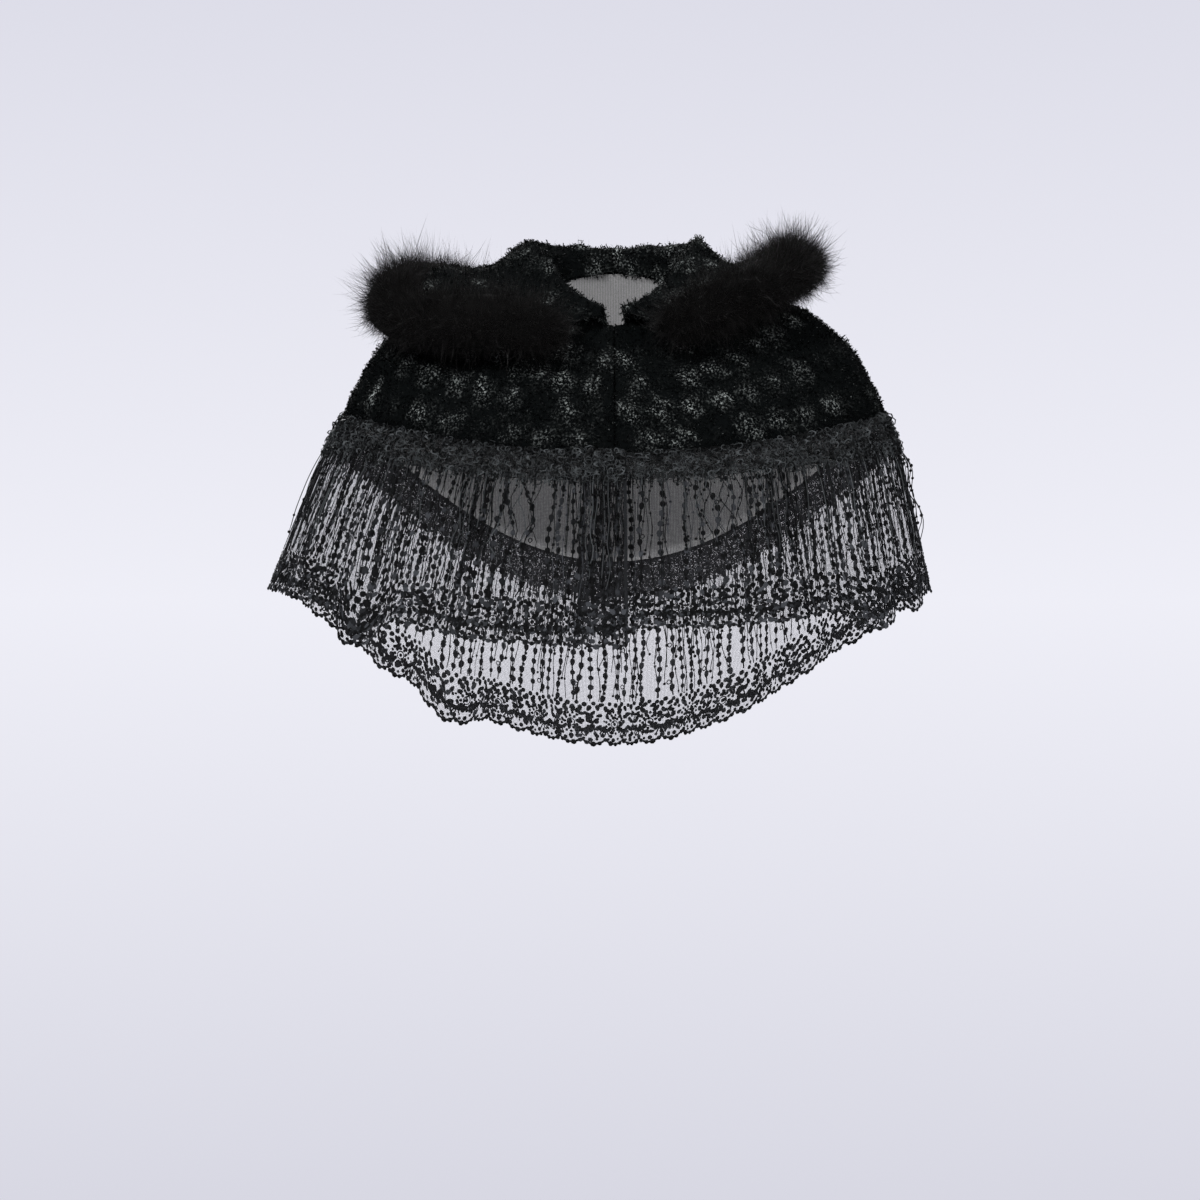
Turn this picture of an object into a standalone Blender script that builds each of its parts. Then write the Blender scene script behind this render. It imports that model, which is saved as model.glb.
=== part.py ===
"""Hooded capelet, built from the pieces that a maker cuts and sews.

A yoke of rosette-pile plush in two fronts and a back, a two-piece hood that
lies open over the shoulders, a long-hair trim round the hood's edge, and a
gathered lace flounce in two fronts and a back, with a dense heading from
which loose cords hang.

The garment keeps its worn form: a hollow shell, open at the neck, down the
centre front and at the hem. Left and right are the wearer's: the wearer
faces -Y and the wearer's left is +X. The origin is the neckline's middle.
Metres, +Z up.
"""
import math
import random
from itertools import combinations

import bpy
import numpy as np
from mathutils.bvhtree import BVHTree

# Driving dimensions, in metres
SEAM_GAP = 0.0003
RUN_STEP = 0.0115           # width of one column of flounce cloth
PLUSH_THICKNESS = 0.0050    # backing and flat pile of the yoke
ROSETTE_RISE = 0.0055       # rosettes above the flat pile
HOOD_THICKNESS = 0.0045
LACE_THICKNESS = 0.0016
LACE_OFFSET = 0.0020        # middle of the lace, outside the form
HEADING_CLEARANCE = 0.0004
HEADING_THICKNESS = 0.0014
CORD_WIDTH = 0.0020
CORD_CLEARANCE = 0.0048     # cord's middle, from the lace's middle
FRONT_EDGE_GAP = 0.0012     # between the yoke's two front edges
LAP_WIDTH = 0.046           # how far the lace fronts lie over each other
LAP_PAST_CENTRE = 0.012
LAP_RISE = 0.0115           # the upper front, in front of the lower one
LAP_RAMP = 0.045
RIGHT_FRONT_HANG = 0.010    # the upper front hangs lower at the centre
LEFT_FRONT_HANG = -0.008

# The form that the cloth lies on, a ring for each level.
# Level 0 is the neckline, 1 the yoke's lower edge and 2 the hem.
RING_COLUMNS = ("level", "right", "left", "front", "back",
                "z_front", "z_side", "z_back")
RINGS = (
    (0.00, 0.070, 0.070, 0.072, 0.060, -0.045, 0.004, 0.022),
    (0.25, 0.128, 0.128, 0.098, 0.098, -0.076, -0.008, -0.045),
    (0.50, 0.188, 0.190, 0.121, 0.122, -0.108, -0.026, -0.118),
    (0.75, 0.236, 0.238, 0.137, 0.136, -0.140, -0.070, -0.194),
    (1.00, 0.267, 0.268, 0.148, 0.143, -0.172, -0.130, -0.270),
    (1.50, 0.302, 0.288, 0.163, 0.157, -0.258, -0.215, -0.366),
    (2.00, 0.331, 0.302, 0.178, 0.172, -0.346, -0.300, -0.462),
)
FRONT_SAG = 2.0             # how the rings drop from the side to the front
BACK_SAG = 2.3
SHOULDER_SEAM = 90.0        # azimuth of the shoulder and side seams, degrees

# The flounce's soft folds: where each crest stands along the hem from the
# centre front (the wearer's left is positive), its half width and depth, and
# how far it lets the hem hang. All in metres.
FOLD_COLUMNS = ("run", "width", "depth", "hang")
FRONT_FOLDS = (
    (-0.395, 0.020, 0.013, 0.003),
    (-0.330, 0.019, 0.014, 0.002),
    (-0.252, 0.015, 0.024, 0.036),
    (-0.197, 0.018, 0.011, 0.000),
    (-0.135, 0.018, 0.018, 0.004),
    (-0.078, 0.015, 0.008, 0.000),
    (-0.022, 0.015, 0.010, 0.002),
    (0.052, 0.016, 0.009, 0.000),
    (0.104, 0.015, 0.009, 0.002),
    (0.160, 0.019, 0.020, 0.003),
    (0.214, 0.014, 0.009, 0.000),
    (0.262, 0.016, 0.023, 0.026),
    (0.318, 0.020, 0.015, 0.016),
    (0.378, 0.017, 0.012, 0.003),
)
# The back's folds, by their place as a share of the way from the left side
# seam to the right one
BACK_FOLD_COLUMNS = ("share", "width", "depth", "hang")
BACK_FOLDS = (
    (0.05, 0.019, 0.013, 0.002),
    (0.14, 0.020, 0.018, 0.006),
    (0.23, 0.019, 0.012, 0.002),
    (0.33, 0.021, 0.019, 0.004),
    (0.43, 0.018, 0.013, 0.003),
    (0.52, 0.021, 0.017, 0.004),
    (0.62, 0.018, 0.012, 0.003),
    (0.70, 0.023, 0.019, 0.027),
    (0.79, 0.019, 0.013, 0.012),
    (0.88, 0.020, 0.017, 0.003),
    (0.95, 0.018, 0.012, 0.001),
)
FOLD_BULGE = 0.35           # how far a crest is wider than its foot
FOLD_AT_HEADING = 0.10      # share of a fold's depth under the yoke

# Where the trim lies: distance down the cloth from the neckline, height of
# its middle over the form, half width along the cloth, half height over it.
TRIM_COLUMNS = ("azimuth", "down", "height", "half_width", "half_height")
RIGHT_TRIM = (
    (-18, 0.046, 0.031, 0.024, 0.020),
    (-28, 0.062, 0.040, 0.036, 0.028),
    (-45, 0.098, 0.043, 0.038, 0.028),
    (-60, 0.136, 0.040, 0.036, 0.027),
    (-70, 0.142, 0.041, 0.035, 0.028),
    (-80, 0.136, 0.039, 0.035, 0.028),
    (-95, 0.124, 0.040, 0.035, 0.028),
    (-115, 0.102, 0.052, 0.034, 0.028),
    (-128, 0.090, 0.062, 0.033, 0.027),
    (-140, 0.078, 0.068, 0.033, 0.028),
    (-160, 0.062, 0.074, 0.034, 0.030),
    (-180, 0.056, 0.077, 0.034, 0.030),
)
LEFT_TRIM = (
    (18, 0.038, 0.031, 0.022, 0.020),
    (28, 0.050, 0.040, 0.032, 0.027),
    (45, 0.070, 0.044, 0.034, 0.030),
    (62, 0.090, 0.044, 0.035, 0.030),
    (78, 0.101, 0.044, 0.035, 0.030),
    (95, 0.100, 0.047, 0.035, 0.031),
    (115, 0.089, 0.055, 0.034, 0.029),
    (128, 0.082, 0.064, 0.033, 0.027),
    (140, 0.075, 0.068, 0.033, 0.028),
    (160, 0.061, 0.074, 0.034, 0.030),
    (180, 0.056, 0.077, 0.034, 0.030),
)
TRIM_SIDES = 10
TRIM_STEPS = 24
TRIM_LUMPS = 0.07           # uneven radius of the hair, as a share
TRIM_CLEARANCE = 0.0030     # between the hood's edge and the trim

# The hood's sections, from the neck seam over the roll to the trim. The roll
# is how far it stands up round the neck. Then come five points of the lay,
# the fold and the way out to the trim: each has its distance down the cloth,
# as a share of the trim's, and its height over the form. Past 1 the cloth
# runs down behind the trim and comes back up, which makes the pouch.
HOOD_COLUMNS = ("azimuth", "roll", "roll_down",
                "lay_1", "lay_1_height", "lay_2", "lay_2_height",
                "fold", "fold_height", "out_1", "out_1_height",
                "out_2", "out_2_height")
HOOD_KNOTS = ("lay_1", "lay_2", "fold", "out_1", "out_2")
HOOD_SECTIONS = (
    (5, .018, .009, .22, .016, .27, .017, .33, .018, .38, .019, .43, .020),
    (25, .022, .009, .23, .020, .29, .021, .35, .023, .40, .025, .45, .026),
    (45, .023, .009, .26, .024, .34, .024, .41, .025, .47, .027, .52, .029),
    (65, .033, .011, .28, .028, .37, .027, .45, .027, .52, .029, .58, .032),
    (90, .038, .013, .32, .028, .42, .027, .51, .028, .57, .031, .62, .034),
    (115, .038, .013, .40, .026, .54, .024, .66, .024, .72, .027, .77, .031),
    (128, .037, .013, .55, .022, .88, .018, 1.14, .020, 1.18, .024, 1.16, .028),
    (140, .036, .013, .80, .019, 1.60, .018, 2.05, .028, 1.92, .044, 1.50, .052),
    (160, .034, .013, 1.3, .018, 2.45, .019, 3.1, .036, 2.75, .062, 1.85, .072),
    (180, .030, .013, 1.6, .018, 2.95, .020, 3.65, .040, 3.2, .068, 2.15, .080),
)
HOOD_STEPS_ROUND = 22
HOOD_ROWS_BETWEEN_KNOTS = (1, 2, 2, 2, 3, 3, 2, 2)
HOOD_LAST_ROOM = 0.004
HOOD_EDGE_GAP = 0.00065     # between the hood's edge and the trim
HOOD_EDGE_MOST = 0.030      # how far from the trim the edge may start
HOOD_EDGE_ROUNDS = 14
HOOD_EDGE_ACROSS = np.linspace(0, 1, 5)
HOOD_EDGE_BETWEEN = np.linspace(0, 1, 12)[:-1]
HOOD_ROLL_HEIGHT = 0.009    # the roll's top over the neckline
HOOD_FRONT_AZIMUTH = 9.0
HOOD_FRONT_THINNING = 0.60  # share of the thickness left at the throat
HOOD_FULL_AZIMUTH = 50.0
HOOD_FRONT_SHARE = 0.52     # the hood's width before the trim begins
HOOD_FRONT_HEIGHT = 0.022

YOKE_FRONT_COLUMNS = 20
YOKE_BACK_COLUMNS = 40
YOKE_FRONT_ROWS = 10
YOKE_BACK_ROWS = 14

FLOUNCE_TOP = 1.003
HEADING_TOP = 1.006
HEADING_BOTTOM = 1.165
FLOUNCE_LEVELS = (FLOUNCE_TOP, HEADING_BOTTOM, 1.33, 1.50, 1.67, 1.84, 2.00)
CORD_BOTTOM = 1.74
CORD_STEPS = 3
CORD_SWAY = 0.0035
CORD_BOW = 0.0060
CORD_SEED = 11

BLACK_PLUSH = ("rosette_plush", (0.012, 0.013, 0.015), 0.85)
BLACK_HAIR = ("long_hair", (0.008, 0.0075, 0.0075), 0.70)
CHARCOAL_LACE = ("embroidered_tulle", (0.028, 0.029, 0.032), 0.80)
CHARCOAL_THREAD = ("heading_thread", (0.030, 0.031, 0.034), 0.75)


def column(table, names, name):
    """One named column of a table, as an array."""
    return np.array([row[names.index(name)] for row in table], float)


def smooth(places, values, at):
    """A smooth curve through the values, read at the given places."""
    slopes = np.gradient(values, places)
    last = len(places) - 2
    cell = np.clip(np.searchsorted(places, at) - 1, 0, last)
    width = places[cell + 1] - places[cell]
    f = (at - places[cell]) / width
    return ((2 * f**3 - 3 * f**2 + 1) * values[cell]
            + (f**3 - 2 * f**2 + f) * width * slopes[cell]
            + (3 * f**2 - 2 * f**3) * values[cell + 1]
            + (f**3 - f**2) * width * slopes[cell + 1])


def ring_value(name, level):
    levels = column(RINGS, RING_COLUMNS, "level")
    return smooth(levels, column(RINGS, RING_COLUMNS, name), level)


def unit(vectors):
    return vectors / np.linalg.norm(vectors, axis=-1, keepdims=True)


def form_point(azimuth, level):
    """A point of the form; azimuth in degrees, 0 at the centre front."""
    azimuth, level = np.broadcast_arrays(np.asarray(azimuth, float),
                                         np.asarray(level, float))
    side = np.sin(np.radians(azimuth))
    ahead = np.cos(np.radians(azimuth))
    half = np.where(side < 0, ring_value("right", level),
                    ring_value("left", level))
    depth = np.where(ahead > 0, -ring_value("front", level),
                     -ring_value("back", level))
    z_side = ring_value("z_side", level)
    z_front = ring_value("z_front", level)
    z_back = ring_value("z_back", level)
    reach = np.abs(ahead)
    z = np.where(ahead > 0, z_side + (z_front - z_side) * reach**FRONT_SAG,
                 z_side + (z_back - z_side) * reach**BACK_SAG)
    return np.stack([half * side, depth * ahead, z], -1)


def form_normal(azimuth, level):
    """The form's outward direction."""
    turn, drop = 0.05, 0.002
    along = (form_point(azimuth + turn, level)
             - form_point(azimuth - turn, level))
    down = form_point(azimuth, level + drop) - form_point(azimuth, level - drop)
    return unit(np.cross(down, along))


def hem_runs():
    """Azimuths in small steps, and the distance along the hem to each."""
    azimuths = np.linspace(-180, 180, 1441)
    steps = np.linalg.norm(np.diff(form_point(azimuths, 2.0), axis=0), axis=1)
    runs = np.concatenate([[0], np.cumsum(steps)])
    return azimuths, runs - np.interp(0, azimuths, runs)


HEM_AZIMUTHS, HEM_RUNS = hem_runs()


def azimuth_at(run):
    return np.interp(run, HEM_RUNS, HEM_AZIMUTHS)


def run_at(azimuth):
    return float(np.interp(azimuth, HEM_AZIMUTHS, HEM_RUNS))


def level_at(azimuth, down):
    """The level that lies a distance down the cloth from the neckline."""
    levels = np.linspace(0, 1, 101)
    line = form_point(azimuth, levels)
    steps = np.linalg.norm(np.diff(line, axis=0), axis=1)
    reach = np.concatenate([[0], np.cumsum(steps)])
    return np.where(np.asarray(down) < 0, down * levels[1] / reach[1],
                    np.interp(down, reach, levels))


def over_form(azimuth, down, height, lift=0.0):
    """A point over the form, by its distance down the cloth."""
    level = level_at(azimuth, down)
    raised = height * form_normal(azimuth, level)
    return form_point(azimuth, level) + raised + np.array([0, 0, lift])


# ---------------------------------------------------------------- meshes

def plain_material(look):
    name, colour, roughness = look
    material = bpy.data.materials.get(name) or bpy.data.materials.new(name)
    material.use_nodes = True
    shader = material.node_tree.nodes["Principled BSDF"]
    shader.inputs["Base Color"].default_value = (*colour, 1)
    shader.inputs["Roughness"].default_value = roughness
    shader.inputs["Metallic"].default_value = 0.0
    return material


def solid(name, points, faces, look):
    """A named object from points and outward-facing faces."""
    mesh = bpy.data.meshes.new(name)
    mesh.from_pydata([tuple(map(float, point)) for point in points], [], faces)
    mesh.materials.append(plain_material(look))
    mesh.update()
    mesh.shade_smooth()
    obj = bpy.data.objects.new(name, mesh)
    bpy.context.scene.collection.objects.link(obj)
    return obj


def wall_faces(rows, columns, open_bottom=()):
    """Faces of a wall whose outer grid comes first and its inner grid next.

    Rows run down the cloth and columns round it. A column cell named in
    open_bottom keeps no face along its lower edge.
    """
    def outer(row, col):
        return row * columns + col

    def inner(row, col):
        return rows * columns + outer(row, col)

    faces = []
    for row in range(rows - 1):
        for col in range(columns - 1):
            faces.append((outer(row, col), outer(row + 1, col),
                          outer(row + 1, col + 1), outer(row, col + 1)))
            faces.append((inner(row, col), inner(row, col + 1),
                          inner(row + 1, col + 1), inner(row + 1, col)))
    end, edge = rows - 1, columns - 1
    for col in range(edge):
        faces.append((outer(0, col), outer(0, col + 1),
                      inner(0, col + 1), inner(0, col)))
        if col not in open_bottom:
            faces.append((outer(end, col + 1), outer(end, col),
                          inner(end, col), inner(end, col + 1)))
    for row in range(end):
        faces.append((outer(row + 1, 0), outer(row, 0),
                      inner(row, 0), inner(row + 1, 0)))
        faces.append((outer(row, edge), outer(row + 1, edge),
                      inner(row + 1, edge), inner(row, edge)))
    return faces


def wall(name, outer, inner, look):
    """A closed wall between two grids of points."""
    rows, columns = outer.shape[:2]
    points = np.concatenate([outer.reshape(-1, 3), inner.reshape(-1, 3)])
    return solid(name, points, wall_faces(rows, columns), look)


# ------------------------------------------------------------------ yoke

def rosette_rise(row, col, rows, columns):
    """Rosettes stand on every second grid point, staggered, off the edges."""
    inside = 0 < row < rows and 0 < col < columns
    if not inside or row % 2 == 0:
        return 0.0
    return ROSETTE_RISE if (col + row // 2) % 2 == 0 else 0.0


def pull_back(grid, first_gap, last_gap):
    """Move a grid's two end columns back from its neighbours' edges."""
    start = unit(grid[:, 1] - grid[:, 0])
    end = unit(grid[:, -2] - grid[:, -1])
    grid[:, 0] += start * first_gap / 2
    grid[:, -1] += end * last_gap / 2


def yoke_panel(name, first, last, columns, rows, first_gap, last_gap):
    """A yoke panel between two azimuths, with its rosettes raised."""
    azimuths = even_azimuths(first, last, columns)
    levels = np.linspace(0, 1, rows + 1)
    outer = np.zeros((rows + 1, columns + 1, 3))
    inner = np.zeros_like(outer)
    for row, level in enumerate(levels):
        base = form_point(azimuths, level)
        normal = form_normal(azimuths, level)
        rise = np.array([rosette_rise(row, col, rows, columns)
                         for col in range(columns + 1)])
        inner[row] = base
        outer[row] = base + normal * (PLUSH_THICKNESS + rise)[:, None]
    pull_back(outer, first_gap, last_gap)
    pull_back(inner, first_gap, last_gap)
    return wall(name, outer, inner, BLACK_PLUSH)


def even_azimuths(first, last, columns):
    """Azimuths that part the yoke's lower edge into equal columns."""
    fine = np.linspace(first, last, 400)
    edge = form_point(fine, 1.0)
    steps = np.linalg.norm(np.diff(edge, axis=0), axis=1)
    reach = np.concatenate([[0], np.cumsum(steps)])
    return np.interp(np.linspace(0, reach[-1], columns + 1), reach, fine)


def yoke():
    """Two fronts and a back, their edges a seam's gap apart."""
    yoke_panel("yoke_front_right", -SHOULDER_SEAM, 0, YOKE_FRONT_COLUMNS,
               YOKE_FRONT_ROWS, SEAM_GAP, FRONT_EDGE_GAP)
    yoke_panel("yoke_front_left", 0, SHOULDER_SEAM, YOKE_FRONT_COLUMNS,
               YOKE_FRONT_ROWS, FRONT_EDGE_GAP, SEAM_GAP)
    yoke_panel("yoke_back", SHOULDER_SEAM, 360 - SHOULDER_SEAM,
               YOKE_BACK_COLUMNS, YOKE_BACK_ROWS, SEAM_GAP, SEAM_GAP)


# ------------------------------------------------------------------ trim

def trim_value(table, name, azimuth):
    places = column(table, TRIM_COLUMNS, "azimuth")
    order = np.argsort(places)
    return smooth(places[order], column(table, TRIM_COLUMNS, name)[order],
                  azimuth)


def trim_frame(table, azimuth):
    """Middle, outward direction and half sizes of the trim at an azimuth."""
    down = trim_value(table, "down", azimuth)
    middle = over_form(azimuth, down, trim_value(table, "height", azimuth))
    normal = form_normal(azimuth, level_at(azimuth, down))
    return (middle, normal, trim_value(table, "half_width", azimuth),
            trim_value(table, "half_height", azimuth))


def fur_trim(name, table, start, end):
    """A strip of long hair: an uneven rounded tube with closed ends."""
    azimuths = np.linspace(start, end, TRIM_STEPS + 1)
    frames = [trim_frame(table, azimuth) for azimuth in azimuths]
    middles = np.array([frame[0] for frame in frames])
    ahead = unit(np.gradient(middles, axis=0))
    seam_side = math.copysign(1, end)
    middles[-1][0] = seam_side * SEAM_GAP / 2
    ahead[-1] = (-seam_side, 0, 0)
    points = []
    for step, (middle, normal, half_width, half_height) in enumerate(frames):
        normal = unit(normal - ahead[step] * np.dot(normal, ahead[step]))
        across = np.cross(ahead[step], normal)
        closing = min(step, TRIM_STEPS - step) / TRIM_STEPS
        share = 0.55 if step == 0 and abs(start) < 90 else 1.0
        for side in range(TRIM_SIDES):
            angle = 2 * math.pi * side / TRIM_SIDES
            lump = 1 + TRIM_LUMPS * math.sin(2.3 * step + 1.7 * side) * min(
                1, 8 * closing)
            points.append(middle
                          + across * math.cos(angle) * half_width * share * lump
                          + normal * math.sin(angle) * half_height * share * lump)
    faces = []
    for step in range(TRIM_STEPS):
        for side in range(TRIM_SIDES):
            a = step * TRIM_SIDES + side
            b = step * TRIM_SIDES + (side + 1) % TRIM_SIDES
            faces.append((a, a + TRIM_SIDES, b + TRIM_SIDES, b))
    faces.append(tuple(range(TRIM_SIDES)))
    top = TRIM_STEPS * TRIM_SIDES
    faces.append(tuple(top + side for side in reversed(range(TRIM_SIDES))))
    return solid(name, points, faces, BLACK_HAIR)


# ------------------------------------------------------------------ hood

def hood_section(azimuth, trim):
    """One section of the hood: points from the neck seam to the trim, and
    the cloth's direction at each."""
    places = column(HOOD_SECTIONS, HOOD_COLUMNS, "azimuth")
    row = {name: float(smooth(places, column(HOOD_SECTIONS, HOOD_COLUMNS, name),
                              abs(azimuth))) for name in HOOD_COLUMNS[1:]}
    seam_down = -(HOOD_THICKNESS / 2 + SEAM_GAP * 2)
    knots = [over_form(azimuth, seam_down, 0.001),
             over_form(azimuth, seam_down, 0.005, 0.55 * row["roll"]),
             over_form(azimuth, row["roll_down"], HOOD_ROLL_HEIGHT, row["roll"])]
    trim_start = abs(trim[0][TRIM_COLUMNS.index("azimuth")])
    trim_azimuth = math.copysign(max(abs(azimuth), trim_start), azimuth)
    trim_down = trim_value(trim, "down", trim_azimuth)
    knots += [over_form(azimuth, row[knot] * trim_down, row[knot + "_height"])
              for knot in HOOD_KNOTS]
    if abs(azimuth) >= trim_start:
        knots.append(trim_frame(trim, azimuth)[0])
    else:
        knots.append(over_form(azimuth, HOOD_FRONT_SHARE * trim_down,
                               HOOD_FRONT_HEIGHT))
    knots = np.array(knots)
    steps = np.concatenate([[0], np.cumsum(
        np.linalg.norm(np.diff(knots, axis=0), axis=1))])
    fine = np.linspace(0, steps[-1], 240)
    line = np.stack([smooth(steps, knots[:, k], fine) for k in range(3)], -1)
    near_trim = [math.copysign(min(max(abs(azimuth) + turn, trim_start), 180),
                               azimuth) for turn in (-7, 0, 7)]
    end = fine[min(clear_length(line, trim, near) for near in near_trim) - 1]
    marks = np.append(steps[:-1], end)
    for back in range(2, len(marks)):
        marks[-back] = min(marks[-back], end - (back - 1) * HOOD_LAST_ROOM)
    places = np.concatenate(
        [np.linspace(low, high, count, endpoint=False) for low, high, count
         in zip(marks, marks[1:], HOOD_ROWS_BETWEEN_KNOTS)] + [[end]])
    courses = np.gradient(line, axis=0)
    return tuple(np.stack([np.interp(places, fine, values[:, k])
                           for k in range(3)], -1) for values in (line, courses))


def clear_length(line, trim, azimuth):
    """How many points of a section come before it would enter the trim."""
    middle, normal, half_width, half_height = trim_frame(trim, azimuth)
    turn = 1.0
    ahead = unit(trim_frame(trim, azimuth + turn)[0]
                 - trim_frame(trim, azimuth - turn)[0])
    normal = unit(normal - ahead * np.dot(normal, ahead))
    across = np.cross(ahead, normal)
    margin = HOOD_THICKNESS / 2 + TRIM_CLEARANCE
    wide = half_width * (1 + TRIM_LUMPS) + margin
    high = half_height * (1 + TRIM_LUMPS) + margin
    near = np.hypot((line - middle) @ across / wide,
                    (line - middle) @ normal / high)
    inside = np.nonzero(near < 1)[0]
    return int(inside[0]) if len(inside) else len(line)


def edge_rooms(outer, inner, surface):
    """The least room between the trim and the edge, round each column."""
    rooms = np.full(len(outer), HOOD_EDGE_MOST)
    for k in range(len(outer) - 1):
        room = min(surface.find_nearest(tuple(map(float, low + (high - low) * f)))[3]
                   for across in HOOD_EDGE_ACROSS
                   for low, high in [(outer[k:k + 2] * across
                                      + inner[k:k + 2] * (1 - across))]
                   for f in HOOD_EDGE_BETWEEN)
        rooms[k:k + 2] = np.minimum(rooms[k:k + 2], room)
    return rooms


def sew_edge(outer, inner, sewn, seam, trim_solid):
    """Carry the hood's edge straight on until it meets the trim."""
    faces = [tuple(face.vertices) for face in trim_solid.data.polygons]
    cuts = [(a, b, c) for face in faces for a, b, c in combinations(face[:4], 3)]
    surface = BVHTree.FromPolygons(
        [vertex.co for vertex in trim_solid.data.vertices], cuts)
    course = (outer[-1] + inner[-1]) - (outer[-2] + inner[-2])
    course[seam, 0] = 0
    course = unit(course)
    carried = np.zeros(len(sewn))
    for _ in range(HOOD_EDGE_ROUNDS):
        further = course * carried[:, None]
        rooms = edge_rooms(outer[-1] + further, inner[-1] + further, surface)
        carried += sewn * np.maximum(rooms - HOOD_EDGE_GAP, 0)
    outer[-1] += course * carried[:, None]
    inner[-1] += course * carried[:, None]


def hood_half(name, first, last, trim, trim_solid):
    """Half of the hood: its sections joined into a wall."""
    azimuths = np.linspace(first, last, HOOD_STEPS_ROUND + 1)
    sections = [hood_section(azimuth, trim) for azimuth in azimuths]
    middle = np.stack([section[0] for section in sections], 1)
    down = np.stack([section[1] for section in sections], 1)
    along = np.gradient(middle, axis=1)
    normal = unit(np.cross(down, along))
    thickness = HOOD_THICKNESS * np.clip(
        HOOD_FRONT_THINNING + np.abs(azimuths) / HOOD_FULL_AZIMUTH, 0, 1)
    half = normal * thickness[None, :, None] / 2
    outer = middle + half
    inner = middle - half
    seam = 0 if abs(first) > abs(last) else -1
    for side in (outer, inner):
        side[:, seam, 0] = math.copysign(SEAM_GAP / 2, first + last)
    trim_start = abs(trim[0][TRIM_COLUMNS.index("azimuth")])
    sew_edge(outer, inner, np.abs(azimuths) >= trim_start, seam, trim_solid)
    return wall(name, outer, inner, BLACK_PLUSH)


def hood():
    back = 180 - math.degrees(SEAM_GAP * 2 / 0.10)
    right = fur_trim("fur_trim_right", RIGHT_TRIM, -18, -back)
    left = fur_trim("fur_trim_left", LEFT_TRIM, 18, back)
    hood_half("hood_right", -back, -HOOD_FRONT_AZIMUTH, RIGHT_TRIM, right)
    hood_half("hood_left", HOOD_FRONT_AZIMUTH, back, LEFT_TRIM, left)


# --------------------------------------------------------------- flounce

def back_folds():
    """The back's folds, placed along the hem."""
    start = run_at(SHOULDER_SEAM)
    length = (HEM_RUNS[-1] - start) + (run_at(-SHOULDER_SEAM) - HEM_RUNS[0])
    folds = [dict(zip(BACK_FOLD_COLUMNS, fold)) for fold in BACK_FOLDS]
    return [dict(fold, run=start + fold["share"] * length) for fold in folds]


def every_fold():
    """Every fold, repeated one turn away so that the back closes."""
    turn = HEM_RUNS[-1] - HEM_RUNS[0]
    folds = [dict(zip(FOLD_COLUMNS, fold)) for fold in FRONT_FOLDS]
    return [dict(fold, run=fold["run"] + shift)
            for fold in folds + back_folds() for shift in (-turn, 0, turn)]


FOLDS = every_fold()


def lace_point(run, level, offset=0.0, lap=0.0, hang=0.0):
    """A point of the lace, by its run along the hem and its level."""
    run, level = np.broadcast_arrays(np.asarray(run, float),
                                     np.asarray(level, float))
    growth = FOLD_AT_HEADING + (1 - FOLD_AT_HEADING) * np.clip(level - 1, 0, 1)
    rise = np.zeros(run.shape)
    shift = np.zeros(run.shape)
    drop = np.zeros(run.shape)
    for fold in FOLDS:
        u = (run - fold["run"]) / fold["width"]
        crest = np.exp(-u * u / 2)
        rise += fold["depth"] * crest * growth
        shift += FOLD_BULGE * fold["depth"] * u * crest * growth
        drop += fold["hang"] * crest * growth**2
    turn = HEM_RUNS[-1] - HEM_RUNS[0]
    wrapped = HEM_RUNS[0] + np.mod(run + shift - HEM_RUNS[0], turn)
    azimuth = azimuth_at(wrapped)
    near_front = np.clip(np.cos(np.radians(azimuth)), 0, 1) ** 4
    drop += hang * near_front * np.clip(level - 1, 0, 1)
    out = rise + LACE_OFFSET + lap * lap_share(run) + offset
    point = form_point(azimuth, level) + form_normal(azimuth, level) * out[..., None]
    point[..., 2] -= drop
    return point


def lap_share(run):
    """How far the upper front has risen over the lower one."""
    start = LAP_PAST_CENTRE - LAP_WIDTH - LAP_RAMP
    f = np.clip((run - start) / LAP_RAMP, 0, 1)
    return f * f * (3 - 2 * f)


def lace_normal(run, level, **shape):
    step, drop = 0.0008, 0.004
    along = (lace_point(run + step, level, **shape)
             - lace_point(run - step, level, **shape))
    down = (lace_point(run, level + drop, **shape)
            - lace_point(run, level - drop, **shape))
    return unit(np.cross(down, along))


# Each lace piece: its two ends along the hem, and how it hangs and laps
LACE_PIECES = {
    "front_right": dict(
        ends=(run_at(-SHOULDER_SEAM) + SEAM_GAP / 2, LAP_PAST_CENTRE),
        shape=dict(lap=LAP_RISE, hang=RIGHT_FRONT_HANG)),
    "front_left": dict(
        ends=(LAP_PAST_CENTRE - LAP_WIDTH, run_at(SHOULDER_SEAM) - SEAM_GAP / 2),
        shape=dict(hang=LEFT_FRONT_HANG)),
    "back": dict(
        ends=(run_at(SHOULDER_SEAM) + SEAM_GAP,
              HEM_RUNS[-1] - HEM_RUNS[0] + run_at(-SHOULDER_SEAM) - SEAM_GAP),
        shape=dict()),
}


def lace_runs(ends):
    count = round((ends[1] - ends[0]) / RUN_STEP)
    return np.linspace(ends[0], ends[1], count + 1)


def flounce(name, ends, shape):
    runs = lace_runs(ends)
    levels = np.array(FLOUNCE_LEVELS)
    grid_run, grid_level = np.meshgrid(runs, levels)
    middle = lace_point(grid_run, grid_level, **shape)
    normal = lace_normal(grid_run, grid_level, **shape)
    half = normal * LACE_THICKNESS / 2
    return wall("flounce_" + name, middle + half, middle - half, CHARCOAL_LACE)


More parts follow.
